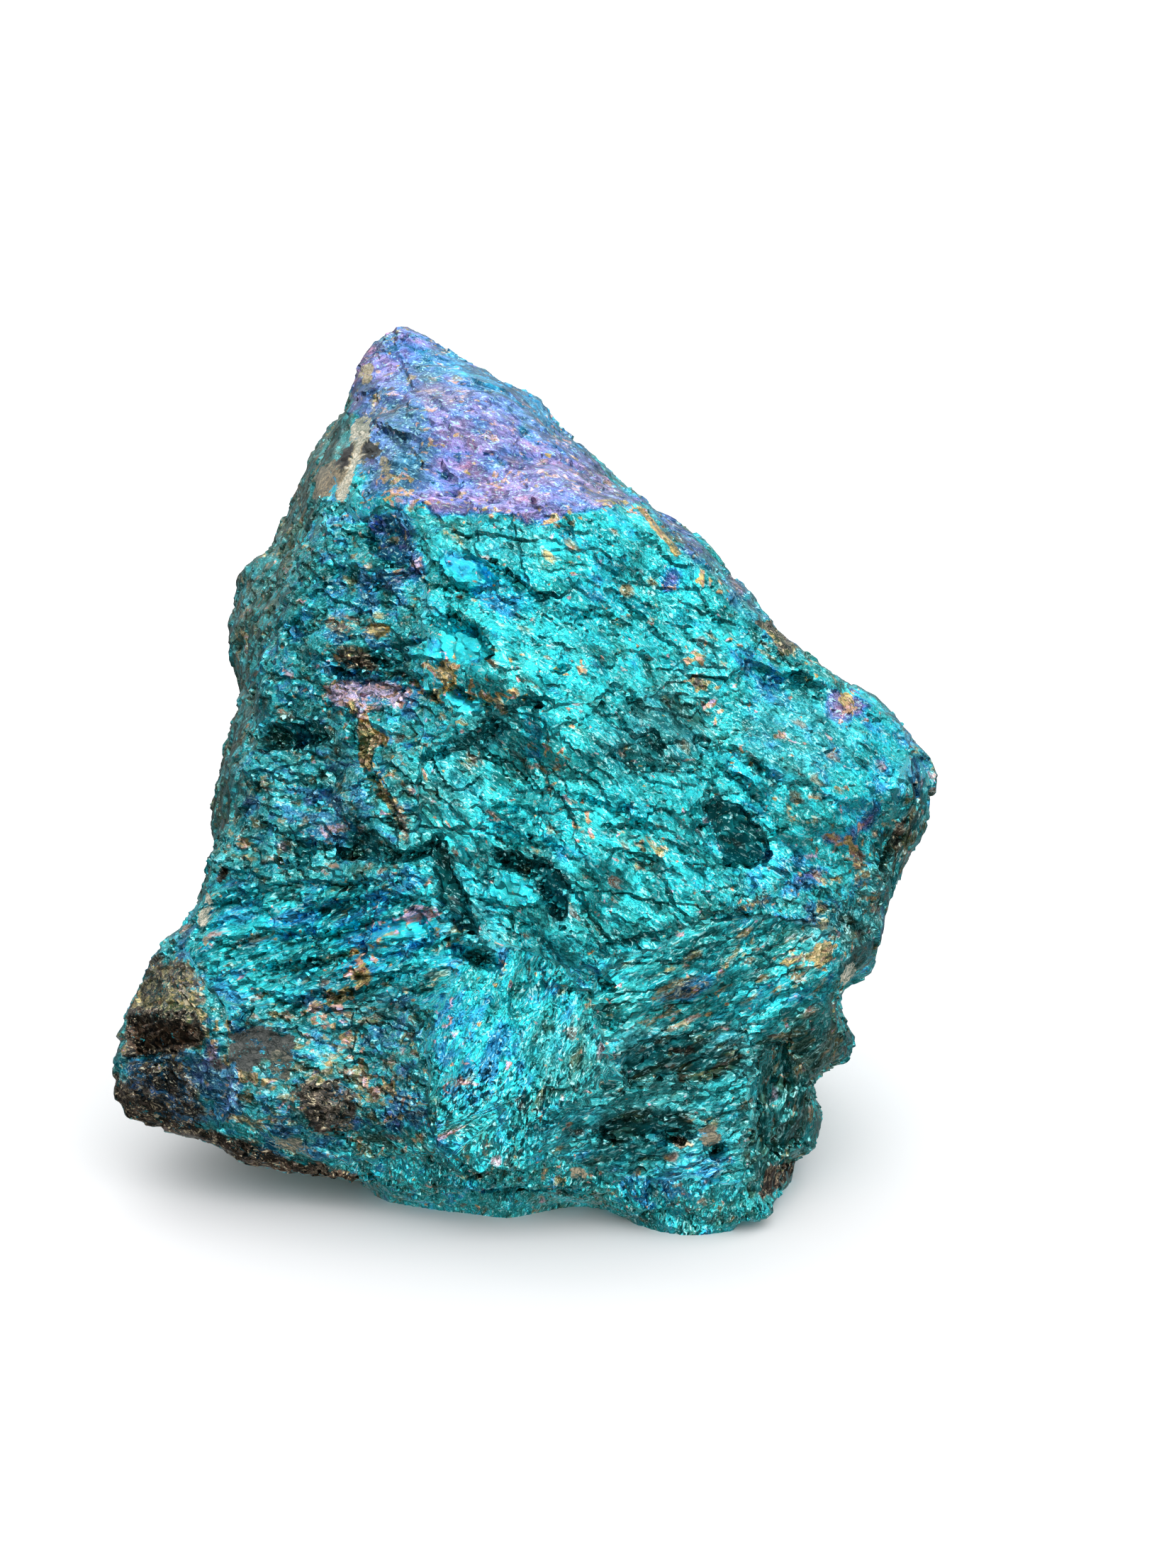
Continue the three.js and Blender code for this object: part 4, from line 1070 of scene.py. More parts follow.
GANGUE = (
    Gangue(outline((-13.8, 21.6), (-12.8, 21.2), (-12.6, 19.4), (-13.6, 18), (-14, 16.2), (-14.6, 16.4),
        (-14.4, 18.2), (-13.8, 19.6)), (-16, -1), Rock.CREAM - 0.05),
    Gangue(outline((-16, 18.2), (-14.6, 19.2), (-14.3, 18), (-15, 16.6), (-15.8, 16.8)),
        (-18, -2), Rock.GREY + 0.12, 0.95),
    Gangue(oval((-12.4, 19.2), (0.4, 0.4)), (-16, -1), Rock.BLACK),
    Gangue(oval((-14.1, 19.1), (0.35, 0.5)), (-16, -1), Rock.BLACK),
    Gangue(oval((-11.6, 18.2), (0.4, 0.7), 10), (-14, -1), Rock.TAN, 0.7),
    Gangue(oval((-13.1, 24.4), (0.35, 0.6)), (-18, -8), Rock.TAN + 0.05, 0.9),
    Gangue(outline((-20.6, -14.2), (-18.6, -13.9), (-16.8, -14.3), (-16.9, -15.6), (-18.3, -15.3),
        (-19.2, -16.6), (-20.2, -15.8)), (-8, 4), Rock.GREY - 0.10, 0.76),
    Gangue(oval((-17.5, -16.1), (0.6, 0.7), 20), (-8, 4), Rock.GREY + 0.1, 0.6),
    Gangue(oval((-16.8, -20.7), (1.6, 0.6), -14), (-10, 4), Rock.GREY + 0.15, 0.55),
    Gangue(oval((14.8, -10.9), (0.5, 0.5)), (-9, 2), Rock.CREAM - 0.1),
    Gangue(oval((-22, -7.4), (0.4, 1), -10), (-9, 0), Rock.CREAM),
    Gangue(oval((-21.8, -8.9), (0.4, 0.3)), (-9, 0), Rock.TAN, 0.6),
    Gangue(oval((6.9, -19.8), (0.9, 0.5), -12), (-4, 4), Rock.GREY + 0.15, 0.6),
    Gangue(oval((-0.5, -22.1), (0.5, 0.4)), (-6, 4), Rock.TAN, 0.55),
    Gangue(oval((2.8, -21.9), (0.35, 0.4)), (-6, 4), Rock.GREY + 0.1, 0.5),
)

# Patches darkened towards grey: partly the ore's duller tarnish, partly painted shade in hollows such as the
# pocket, the shelf, the crevice and the dark lower right.
DULL_AND_SHADED = (
    Stain(outline((3.4, 16.2), (5.4, 15.4), (12.4, 7.9), (11.4, 7.1), (8.2, 10.2), (4.6, 13.8)),
        0.6, soft=0.2),
    Stain(CAP_LEFT, 0.5, soft=0.8),
    spot(-3.4, 17.2, 4.6, 1.6, 0.3, soft=0.6, turn=-8),
    spot(-9, 23, 2.6, 1.3, 0.7, soft=0.9, turn=-30),
    spot(1, 17.2, 1.8, 1.2, 0.7, soft=0.8, turn=-50),
    spot(-4, 21, 5, 1.6, 0.3, soft=0.8, turn=-30),
    spot(-1, -15.2, 2.4, 2.4, 0.4, soft=1.1),
    spot(12, 3, 3.6, 2.6, 0.5, soft=1.2),
    spot(-8, 0, 2.2, 1.6, 0.35, soft=0.9),
    Stain(outline((-21.6, -13.4), (-16.4, -13.4), (-16.4, -17), (-19.4, -17.6), (-21.4, -16.4)),
        0.75, soft=0.7),
    spot(13.2, -8, 2.2, 1.2, 0.8, soft=0.7, turn=14),
    spot(13, -9.7, 1, 0.8, 0.5, soft=0.3),
    Stain(outline((14.4, -8.4), (15.2, -5.6), (16.4, -4.2), (17.6, -4.8), (16.8, -9.2), (15.2, -11.6),
        (14, -10.6)), 0.7),
    spot(1, 16.6, 1.4, 0.6, 0.5, soft=0.5),
    spot(-14, 9, 2, 1.4, 0.45, soft=0.9),
    spot(-14, -13, 2.8, 1.8, 0.55, soft=0.9),
    spot(-10.6, 19.6, 1.8, 3.4, 0.7, soft=0.8, turn=12),
    spot(-6.6, 20.6, 2.4, 1.2, 0.4, soft=0.8, turn=-30),
    spot(-6, 14.2, 4, 1.4, 0.25, turn=-8),
    Stain(outline((-15.8, 4), (-14, 3.6), (-13.4, 2), (-12.8, -1.6), (-10.8, -4.2), (-12.8, -4.6),
        (-15, -1)), 0.75),
    Stain(outline((-18.8, 3.6), (-17.4, 4.1), (-14.8, 3.9), (-14.4, 2.2), (-16.6, 1.8), (-18.6, 1.6)),
        0.8),
    Stain(outline((1, 1.8), (2.6, 4.6), (4.6, 6.2), (6.2, 4.2), (7, 2), (5.8, 0.8), (2.6, 0.8)),
        0.6, soft=1.1),
    spot(6.2, 6.4, 1.6, 1.8, 0.3),
    Stain(outline((-9.4, -3.2), (-7.6, -3.6), (-6.6, -6), (-4.4, -8.8), (-4.8, -10.2), (-8.2, -9),
        (-8.8, -6)), 0.45),
    Stain(outline((-5.6, -3.8), (-2, -3.9), (-0.9, -5.6), (-0.8, -8.4), (-1.8, -8.2), (-2.8, -5)), 0.5),
    Stain(outline((-8.4, 1.6), (-5.6, 4.4), (-3, 4.9), (-4.6, 2.8), (-6.4, 1.4)), 0.5),
    Stain(POCKET, 0.4, soft=0.1),
    Stain(outline((2, -13.6), (8.8, -13.6), (9.8, -16.4), (6, -17), (2, -17.2)), 0.85, soft=0.9),
    Stain(outline((0.6, -18.2), (6, -18), (6.2, -20.6), (2.6, -20.2), (0.4, -20.4)), 1, soft=0.8),
    Stain(LOWER_CORNER, 0.35, soft=0.3),
    spot(12.8, -15.2, 1.8, 1.8, 0.5, soft=0.5),
    spot(-15, -18.2, 2.2, 2.2, 0.7),
    Stain(outline((-13, -11.8), (-9.6, -11.8), (-9.2, -14), (-10.6, -15.2), (-13.2, -14.4)), 0.7),
)

SMOOTH = (
    outline((-10.4, 7.1), (-9, 8), (-7.5, 8.9), (-6.5, 8.8), (-5.9, 8), (-5.4, 7.3), (-6, 6.9),
        (-9, 6.9)),
    oval((-7.2, 4.6), (1.2, 0.45), -22),
    oval((-6.9, 12.1), (1.8, 0.8), -22),
    oval((-4.2, -5.9), (1.2, 0.6), -8),
    oval((-10.4, -8.1), (2, 0.65), 8),
    outline((-26.6, -13.5), (-22, -13.7), (-22.2, -14.9), (-26.2, -15.8)),
    oval((-15.2, 17.6), (0.7, 1)),
)


# --- shader sockets ---


class Socket:
    """An output socket that can be used in sums: each operator adds the Math node that works it out."""

    def __init__(self, graph: "Graph", socket: bpy.types.NodeSocket) -> None:
        """Wraps an output socket of a graph."""
        self.graph = graph
        self.socket = socket

    def math(self, operation: str, *others: Any) -> "Socket":
        """Adds a Math node that starts with this socket.

        Args:
            operation: the Math node's operation.
            others: its other inputs, as numbers or sockets.

        Returns:
            The node's value.
        """
        return self.graph.node("ShaderNodeMath", {"operation": operation}, self, *others)

    def __add__(self, other: Any) -> "Socket":
        """Returns this plus the other."""
        return self.math("ADD", other)

    def __radd__(self, other: Any) -> "Socket":
        """Returns the other plus this."""
        return self.math("ADD", other)

    def __sub__(self, other: Any) -> "Socket":
        """Returns this less the other."""
        return self.math("SUBTRACT", other)

    def __rsub__(self, other: Any) -> "Socket":
        """Returns the other less this."""
        return self.graph.node("ShaderNodeMath", {"operation": "SUBTRACT"}, other, self)

    def __mul__(self, other: Any) -> "Socket":
        """Returns this times the other."""
        return self.math("MULTIPLY", other)

    def __rmul__(self, other: Any) -> "Socket":
        """Returns the other times this."""
        return self.math("MULTIPLY", other)

    def sibling(self, name: str) -> "Socket":
        """Returns another output of the same node, by name."""
        return Socket(self.graph, self.socket.node.outputs[name])

    def rise(self, low: float, high: float, start: float = 0.0, end: float = 1.0) -> "Socket":
        """Maps this smoothly from low..high to start..end, held at both ends."""
        values = {"Value": self, "From Min": low, "From Max": high, "To Min": start, "To Max": end}
        return self.graph.node("ShaderNodeMapRange", {"interpolation_type": "SMOOTHSTEP"}, **values)

    def held(self) -> "Socket":
        """Returns this held between 0 and 1."""
        return self.graph.node("ShaderNodeClamp", {}, self)


class Graph:
    """The node tree of one material or world, filled through one method."""

    def __init__(self, tree: bpy.types.NodeTree) -> None:
        """Empties the tree and takes it over."""
        tree.nodes.clear()
        self.tree = tree

    def node(self, kind: str, settings: dict[str, Any], *inputs: Any,
             out: str | int = 0, **named: Any) -> Socket:
        """Adds a node.

        Args:
            kind: the node's type.
            settings: the node's settings, set before its sockets; "stops" fills a colour ramp.
            inputs: values or sockets for the node's first inputs, in order; None leaves one alone.
            out: the name or number of the output that is returned.
            named: values or sockets for inputs by name.

        Returns:
            The chosen output.
        """
        node = self.tree.nodes.new(kind)
        for name, value in settings.items():
            if name == "stops":
                self.fill_ramp(node.color_ramp, value)
            else:
                setattr(node, name, value)
        usable = [socket for socket in node.inputs if socket.enabled]
        for socket, value in zip(usable, inputs):
            self.feed(socket, value)
        for name, value in named.items():
            self.feed(next(socket for socket in usable if socket.name == name), value)
        outputs = [socket for socket in node.outputs if socket.enabled]
        if not outputs:
            return Socket(self, None)
        chosen = outputs[out] if isinstance(out, int) else next(s for s in outputs if s.name == out)
        return Socket(self, chosen)

    def feed(self, socket: bpy.types.NodeSocket, value: Any) -> None:
        """Links a socket to another, or sets its value.

        Args:
            socket: an input of a node.
            value: the Socket to link, or the value to set; None leaves the input alone.
        """
        if isinstance(value, Socket):
            self.tree.links.new(value.socket, socket)
        elif value is not None:
            if isinstance(value, tuple) and len(value) == 3 and socket.type == "RGBA":
                value = (*value, 1.0)
            socket.default_value = value

    @staticmethod
    def fill_ramp(ramp: bpy.types.ColorRamp, stops: Iterable[tuple[float, Colour]]) -> None:
        """Gives a colour ramp its stops.

        Args:
            ramp: a new ramp, which has two stops.
            stops: each stop's place from 0 to 1 and its colour.
        """
        for number, (place, colour) in enumerate(stops):
            element = ramp.elements[number] if number < 2 else ramp.elements.new(place)
            element.position = place
            element.color = (*colour, 1.0)

    def blend(self, share: Any, first: Any, second: Any, mode: str = "MIX") -> Socket:
        """Mixes two colours.

        Args:
            share: how far the second colour takes over, from 0 to 1.
            first: a colour or socket.
            second: a colour or socket.
            mode: the Mix node's blend type.

        Returns:
            The mixed colour.
        """
        settings = {"data_type": "RGBA", "blend_type": mode}
        return self.node("ShaderNodeMix", settings, share, first, second, out="Result")

    def vector(self, operation: str, *inputs: Any, **named: Any) -> Socket:
        """Adds a Vector Math node and returns its vector."""
        return self.node("ShaderNodeVectorMath", {"operation": operation}, *inputs, **named)

    def ramp(self, stops: Iterable[tuple[float, Colour]], tone: Any) -> Socket:
        """Returns the colour that a tone from 0 to 1 has in a row of colours."""
        return self.node("ShaderNodeValToRGB", {"stops": stops}, tone)

    def noise(self, place: Socket, waves: float, detail: float, out: str | int = 0) -> Socket:
        """Returns smooth noise with so many waves to the millimetre."""
        settings = {"Scale": waves, "Detail": detail, "Roughness": 0.62}
        return self.node("ShaderNodeTexNoise", {}, Vector=place, out=out, **settings)

    def cells(self, place: Socket, scale: float, feature: str = "F1", out: str = "Color") -> Socket:
        """Returns an output of a Voronoi pattern with so many cells to the millimetre."""
        values = {"Vector": place, "Scale": scale, "Randomness": 1.0}
        return self.node("ShaderNodeTexVoronoi", {"feature": feature}, out=out, **values)

    def channel(self, colour: Socket, name: str) -> Socket:
        """Returns one channel of a colour, by name."""
        return self.node("ShaderNodeSeparateColor", {}, colour, out=name)


# --- finish ---


class Ground:
    """What all parts of the ore's finish draw on: the numbers stored on the stone, and shared noise."""

    def __init__(self, graph: Graph, metal: "TarnishedMetal") -> None:
        """Reads the stored numbers and lays out the noise.

        Args:
            graph: the material's graph.
            metal: the finish, which says how fine each noise is.
        """
        self.graph = graph
        self.place = graph.node("ShaderNodeAttribute", {"attribute_name": "grain_place"}, out="Vector")
        self.film, self.variety, self.bronzed = self.stored("film", "variety", "bronzed")
        self.bronze, self.tone = self.stored("bronze", "tone")
        self.rock, self.rock_tone = self.stored("rock", "rock_tone")
        self.cavity, self.shade, self.dim = self.stored("cavity", "shade", "dim")
        self.smooth, self.catch = self.stored("smooth", "catch")
        wander = graph.noise(self.place, metal.wander_waves, 2.0, "Color")
        self.bent = graph.vector("MULTIPLY_ADD", wander, (metal.wander,) * 3, self.place)
        self.fine = graph.noise(self.bent, metal.fine_waves, 3.0)
        self.grain = graph.noise(self.bent, metal.grain_waves, 1.0)
        self.broad = graph.noise(self.place, metal.broad_waves, 3.0)
        self.streak = graph.noise(self.place, metal.streak_waves, 3.0)
        self.rust = graph.noise(graph.vector("ADD", self.place, (53.0, 7.0, 31.0)), metal.rust_waves, 4.0)
        self.facets = [graph.cells(self.bent, 1.0 / size) for size in metal.facet_sizes]
        self.grit = graph.channel(self.facets[0], "Green")
        self.fleck = graph.channel(self.facets[1], "Red")
        # painted shade: crevices, hollows and downward plates darken where the stored cavity and shade
        # numbers are high
        depth = self.cavity * self.streak.rise(0.40, 0.60, 0.3, 1.0) + self.shade
        self.hollow = (depth + (self.fine - 0.5) * 1.7).rise(0.30, 0.62)

    def stored(self, *names: str) -> list[Socket]:
        """Returns numbers that are stored on the stone's surface, by name."""
        kind = "ShaderNodeAttribute"
        return [self.graph.node(kind, {"attribute_name": name}, out="Fac") for name in names]


@dataclass(frozen=True)
class TarnishedMetal:
    """Crackled metal under a film of tarnish, whose thickness sets its colour.

    Waves and cells are counted to the millimetre, and the sizes of cracks and facets are in millimetres.
    """

    name: str = "tarnished_ore"
    film_colours: tuple[tuple[float, Colour], ...] = (
        (Film.PINK, (0.60, 0.24, 0.42)),
        (Film.LILAC, (0.34, 0.26, 0.56)),
        (Film.VIOLET, (0.20, 0.21, 0.56)),
        (Film.PERIWINKLE, (0.12, 0.28, 0.74)),
        (Film.NAVY, (0.02, 0.19, 0.36)),
        (Film.AZURE, (0.04, 0.40, 0.76)),
        (Film.CYAN, (0.03, 0.68, 0.78)),
        (Film.TEAL, (0.04, 0.60, 0.62)),
        (Film.GREEN, (0.03, 0.34, 0.32)),
        (Film.OLIVE, (0.08, 0.22, 0.15)),
    )
    bronze_colours: tuple[tuple[float, Colour], ...] = (
        (Bronze.BLACK, (0.015, 0.013, 0.012)),
        (Bronze.BROWN, (0.16, 0.085, 0.05)),
        (Bronze.GREY, (0.26, 0.22, 0.20)),
        (Bronze.OLIVE, (0.36, 0.32, 0.18)),
        (Bronze.GOLD, (0.76, 0.56, 0.20)),
        (Bronze.COPPER, (0.60, 0.34, 0.20)),
        (Bronze.ORANGE, (0.80, 0.42, 0.34)),
        (Bronze.PEARL, (0.74, 0.60, 0.90)),
    )
    rock_colours: tuple[tuple[float, Colour], ...] = (
        (Rock.BLACK, (0.01, 0.009, 0.009)),
        (Rock.GREY, (0.10, 0.095, 0.08)),
        (Rock.TAN, (0.45, 0.36, 0.22)),
        (Rock.CREAM, (0.78, 0.72, 0.58)),
    )
    # tint of the painted shade in the hollows
    painted_shade_tint: Colour = (0.05, 0.17, 0.18)
    # grey of the darkened patches, which are partly duller tarnish and partly painted shade
    dull_and_shaded_tint: Colour = (0.20, 0.23, 0.23)
    # colours of the painted glints: cold on the film, warm on the golden tarnish
    cold_painted_glint: Colour = (0.50, 0.97, 0.97)
    warm_painted_glint: Colour = (0.95, 0.82, 0.55)
    crack_size: float = 0.27
    facet_sizes: tuple[float, ...] = (0.22, 0.6, 1.5)
    facet_tilts: tuple[float, ...] = (0.17, 0.22, 0.20)
    roughness: float = 0.30
    wander: float = 0.8
    wander_waves: float = 1.7
    grain_waves: float = 7.0
    fine_waves: float = 4.2
    wrinkle_waves: float = 2.3
    fold_waves: float = 1.3
    rust_waves: float = 1.3
    streak_waves: float = 0.8
    broad_waves: float = 0.55
    speck_cells: float = 1.1

    def make(self) -> bpy.types.Material:
        """Makes the material.

        Returns:
            The finished material, which reads the numbers stored on the stone.
        """
        material = bpy.data.materials.new(self.name)
        material.use_nodes = True
        graph = Graph(material.node_tree)
        ground = Ground(graph, self)
        rock_share = (ground.rock + (ground.fine + ground.rust - 1.0) * 2.2 * ground.rock).rise(0.38, 0.55)
        colour = graph.blend(rock_share, self.tarnished(ground), self.bare_rock(ground))
        roughness = self.roughness + (ground.fine - 0.5) * 0.2 + rock_share * 0.45 + ground.bronze * 0.08
        looks = {
            "Base Color": self.lit(ground, colour, rock_share),
            "Metallic": 1.0 - rock_share * 0.95,
            "Roughness": roughness.held(),
            "Normal": self.tilted_normal(ground),
        }
        shader = graph.node("ShaderNodeBsdfPrincipled", {}, **looks)
        graph.node("ShaderNodeOutputMaterial", {}, Surface=shader)
        return material

    def tarnished(self, ground: Ground) -> Socket:
        """Works out the metal's colour: its film, the specks and brown blooms, and the golden stains.

        Args:
            ground: the graph, the stored numbers and the shared noise.

        Returns:
            The colour.
        """
        graph, fine, grit, rust = ground.graph, ground.fine, ground.grit, ground.rust
        bronzed, bronze = ground.bronzed, ground.bronze
        mottle = (ground.streak - 0.5) * 1.2 + (rust - 0.5) * 0.9 + (ground.fleck - 0.5) * 0.12
        # the film turns greener in the hollows, as part of their painted shade
        film = ground.film + (fine - 0.5) * 0.10 + mottle * ground.variety + ground.hollow * 0.08
        metal = graph.ramp(self.film_colours, film)
        speck_share, speck_tone = self.specks(ground)
        metal = graph.blend(speck_share, metal, graph.ramp(self.bronze_colours, speck_tone))
        brown = graph.ramp(self.bronze_colours, 0.1 + grit * 0.4 + ground.broad * 0.7)
        metal = graph.blend((rust + bronzed * 0.12).rise(0.66, 0.74) * 0.75, metal, brown)
        golden = graph.ramp(self.bronze_colours, ground.tone + (fine - 0.5) * 0.3 + (grit - 0.5) * 0.3)
        return graph.blend((bronze + (fine + rust - 1.0) * 1.7 * bronze).rise(0.35, 0.55), metal, golden)

    def specks(self, ground: Ground) -> tuple[Socket, Socket]:
        """Strews small brown and copper specks.

        Args:
            ground: the graph, the stored numbers and the shared noise.

        Returns:
            How far the specks take over, and their tone.
        """
        graph = ground.graph
        cell = graph.cells(ground.bent, self.speck_cells)
        likely = ground.broad * 0.4 + ground.bronzed * 0.06
        chosen = (graph.channel(cell, "Red") + likely).rise(1.06, 1.12)
        share = cell.sibling("Distance").rise(0.40, 0.18) * chosen * 0.85
        return share, 0.2 + graph.channel(cell, "Green") * 0.75

    def bare_rock(self, ground: Ground) -> Socket:
        """Returns the colour of the bare rock, finely mottled."""
        tone = ground.rock_tone + (ground.fine - 0.5) * 0.5 + (ground.grit - 0.5) * 0.2
        return ground.graph.ramp(self.rock_colours, tone)

    def lit(self, ground: Ground, colour: Socket, rock_share: Socket) -> Socket:
        """Darkens the cracks of a colour, paints shade into its hollows, darkens and greys its duller or
        shaded patches, and paints highlights on the finest grains.

        Args:
            ground: the graph, the stored numbers and the shared noise.
            colour: the colour of the surface in full light.
            rock_share: where rock takes the metal's place.

        Returns:
            The colour with its light and dark.
        """
        graph, fine, grit = ground.graph, ground.fine, ground.grit
        hollow, dim = ground.hollow, ground.dim
        wrinkle = graph.noise(ground.place, self.wrinkle_waves, 3.0) - 0.5
        lines = self.cracks(ground) * wrinkle.math("ABSOLUTE").rise(0.004, 0.018, 0.45, 1.0)
        # painted highlight: a bright lip beside each wrinkle line stands for its lit edge
        lip = wrinkle.rise(0.014, 0.026) * (1.0 - wrinkle.rise(0.04, 0.07)) * (1.0 - hollow)
        strokes = (fine - dim * 0.05 + (ground.broad - 0.5) * 0.7).rise(0.38, 0.44, 0.15, 1.0) * lines
        strokes = 1.0 - (1.0 - strokes) * (1.0 - ground.smooth * 0.75)
        shadow = (1.0 - hollow * 0.7 - ground.shade * 0.25) * (1.0 - dim * 0.35)
        light = strokes * (0.65 + grit * 0.35 + ground.broad * 0.3) * shadow + lip * 0.25
        # the dark colour of the cracks and strokes, and the painted shade of the hollows
        dark = graph.blend(1.0, colour, self.painted_shade_tint, "MULTIPLY")
        # darkened patches greyed: partly duller tarnish, partly painted shade
        colour = graph.blend(dim * 0.45, colour, self.dull_and_shaded_tint)
        colour = graph.blend(light.held(), dark, colour)
        # painted highlights: sparse pale glints where tiny facets would catch the light
        glint = (ground.grain + (grit - 0.5) * 0.15).rise(0.60, 0.70) + lip * 0.12
        glint = glint * (1.0 - ground.smooth * 0.7) * (1.0 - rock_share)
        painted_glint_colour = graph.blend(ground.bronze.rise(0.3, 0.6), self.cold_painted_glint, self.warm_painted_glint)
        return graph.blend(glint.held(), colour, graph.blend(0.6, colour, painted_glint_colour))

    def cracks(self, ground: Ground) -> Socket:
        """Draws the web of thin cracks.

        Args:
            ground: the graph, the stored numbers and the shared noise.

        Returns:
            Low in a crack and 1 on the metal between.
        """
        graph = ground.graph
        edge = graph.cells(ground.bent, 1.0 / self.crack_size, "DISTANCE_TO_EDGE", "Distance")
        web = (edge + (0.5 - ground.fine) * 0.7).rise(0.0, 0.12, 0.35, 1.0)
        fold = graph.noise(ground.bent, self.fold_waves, 3.0) - 0.5
        return web * fold.math("ABSOLUTE").rise(0.003, 0.016, 0.55, 1.0)

    def tilted_normal(self, ground: Ground) -> Socket:
        """Works out the direction of the finest facets.

        Args:
            ground: the graph, the stored numbers and the shared noise.

        Returns:
            The surface's direction, tilted by chance from facet to facet and turned up to catch light.
        """
        graph = ground.graph
        catch = ground.catch * ground.fine.rise(0.42, 0.60)
        rise = graph.node("ShaderNodeCombineXYZ", {}, None, None, catch)
        normal = graph.vector("ADD", graph.node("ShaderNodeNewGeometry", {}, out="Normal"), rise)
        for facet, tilt in zip(ground.facets, self.facet_tilts):
            lean = graph.vector("SUBTRACT", facet, (0.5, 0.5, 0.5))
            share = (1.0 - ground.smooth * 0.7) * tilt
            normal = graph.vector("ADD", normal, graph.vector("SCALE", lean, Scale=share))
        return graph.vector("NORMALIZE", normal)


# --- the stone ---


@dataclass(frozen=True)
class Site:
    """Where a mesh's points lie: in millimetres on the stone, and in the face's own measures."""

    points: Array
    normals: Array
    front: Array
    across: Array
    up: Array
    out: Array


@dataclass
class OreLump:
    """The lump of ore: the solid's shape, broken finely all over and tarnished. Sizes are in millimetres."""

    node: str = "ore_lump"
    slot: str = "tarnished_ore"
    voxel: float = 0.18
    triangles: int = 196000
    soften: int = 6
    sharp_angle: float = 28.0
    calm_below: float = 1.2
    foot_height: float = 0.25
    past_box: float = 0.3
    chip: float = 0.6
    chip_shift: float = 0.30
    bend: float = 1.5
    bend_share: float = 0.16
    crumb: float = 0.45
    zone_spread: int = 60
    flank_film: float = 0.88
    finish: TarnishedMetal = TarnishedMetal()
    face: BreakFace = BreakFace()
    noise: Noise = field(default_factory=lambda: Noise(7))

    def build(self) -> bpy.types.Object:
        """Builds the stone from the solid.

        Returns:
            The finished stone as one mesh object.
        """
        stone = self.fine_copy()
        self.break_surface(stone.data)
        self.thin_out(stone)
        self.store_tarnish(stone.data)
        stone.data.polygons.foreach_set("use_smooth", np.ones(len(stone.data.polygons), dtype=bool))
        stone.data.set_sharp_from_angle(angle=math.radians(self.sharp_angle))
        stone.data.materials.clear()
        stone.data.materials.append(self.finish.make())
        return stone

    def fine_copy(self) -> bpy.types.Object:
        """Copies the solid's surface.

        Returns:
            The copy, made of small even faces.
        """
        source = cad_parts[self.node]
        stone = bpy.data.objects.new("ore_lump_skin", source.data.copy())
        bpy.context.scene.collection.objects.link(stone)
        remesh = stone.modifiers.new("even faces", "REMESH")
        remesh.mode = "VOXEL"
        remesh.voxel_size = self.voxel * MM
        remesh.adaptivity = 0.0
        self.apply_modifiers(stone)
        return stone

    @staticmethod
    def apply_modifiers(thing: bpy.types.Object) -> None:
        """Replaces an object's mesh by what its modifiers make of it.

        Args:
            thing: the object, which keeps no modifiers.
        """
        shown = thing.evaluated_get(bpy.context.evaluated_depsgraph_get())
        mesh = bpy.data.meshes.new_from_object(shown)
        thing.modifiers.clear()
        old, thing.data = thing.data, mesh
        bpy.data.meshes.remove(old)

    @staticmethod
    def read(mesh: bpy.types.Mesh, name: str) -> Array:
        """Reads a property of a mesh's points.

        Args:
            mesh: the mesh.
            name: the property, such as a point's place or outward direction.

        Returns:
            One row of three numbers for each point.
        """
        flat = np.empty(len(mesh.vertices) * 3)
        mesh.vertices.foreach_get(name, flat)
        return flat.reshape(-1, 3)

    @staticmethod
    def spread(mesh: bpy.types.Mesh, values: Array, times: int) -> Array:
        """Averages values over neighbouring points.

        Args:
            mesh: whose edges say which points are neighbours.
            values: one row for each point.
            times: how often the average is taken.

        Returns:
            The averaged values.
        """
        flat = np.empty(len(mesh.edges) * 2, dtype=np.int64)
        mesh.edges.foreach_get("vertices", flat)
        a, b = flat[0::2], flat[1::2]
        count = len(mesh.vertices)
        share = 1.0 / np.maximum(np.bincount(a, minlength=count) + np.bincount(b, minlength=count), 1)
        columns = np.array(values, dtype=float).reshape(count, -1)
        for _ in range(times):
            for column in range(columns.shape[1]):
                one = columns[:, column]
                total = np.bincount(a, one[b], count) + np.bincount(b, one[a], count)
                columns[:, column] = 0.5 * one + 0.5 * total * share
        return columns.reshape(np.shape(values))

    @staticmethod
    def put_points(mesh: bpy.types.Mesh, points: Array) -> None:
        """Moves a mesh's points to new places in millimetres."""
        mesh.vertices.foreach_set("co", (points * MM).ravel())
        mesh.update()

    def break_surface(self, mesh: bpy.types.Mesh) -> None:
        """Softens the solid's flats and breaks the surface into steps, flakes and cracks.

        Args:
            mesh: the fine copy's mesh, whose points are moved.
        """
        soft = self.spread(mesh, self.read(mesh, "co") / MM, self.soften)
        self.put_points(mesh, soft)
        normals = self.read(mesh, "normal")
        calm = smooth_between(0.0, self.calm_below, soft[:, 2])
        points = soft + normals * (self.relief(soft, normals) * calm)[:, None]
        points[:, 2] = np.maximum(points[:, 2], 0.0)
        lowest, highest = (np.array(corner) / MM for corner in cad_box)
        points = np.clip(points, lowest - self.past_box, highest + self.past_box)
        points[:, 2] = np.where(soft[:, 2] < self.foot_height, 0.0, points[:, 2])
        self.put_points(mesh, points)

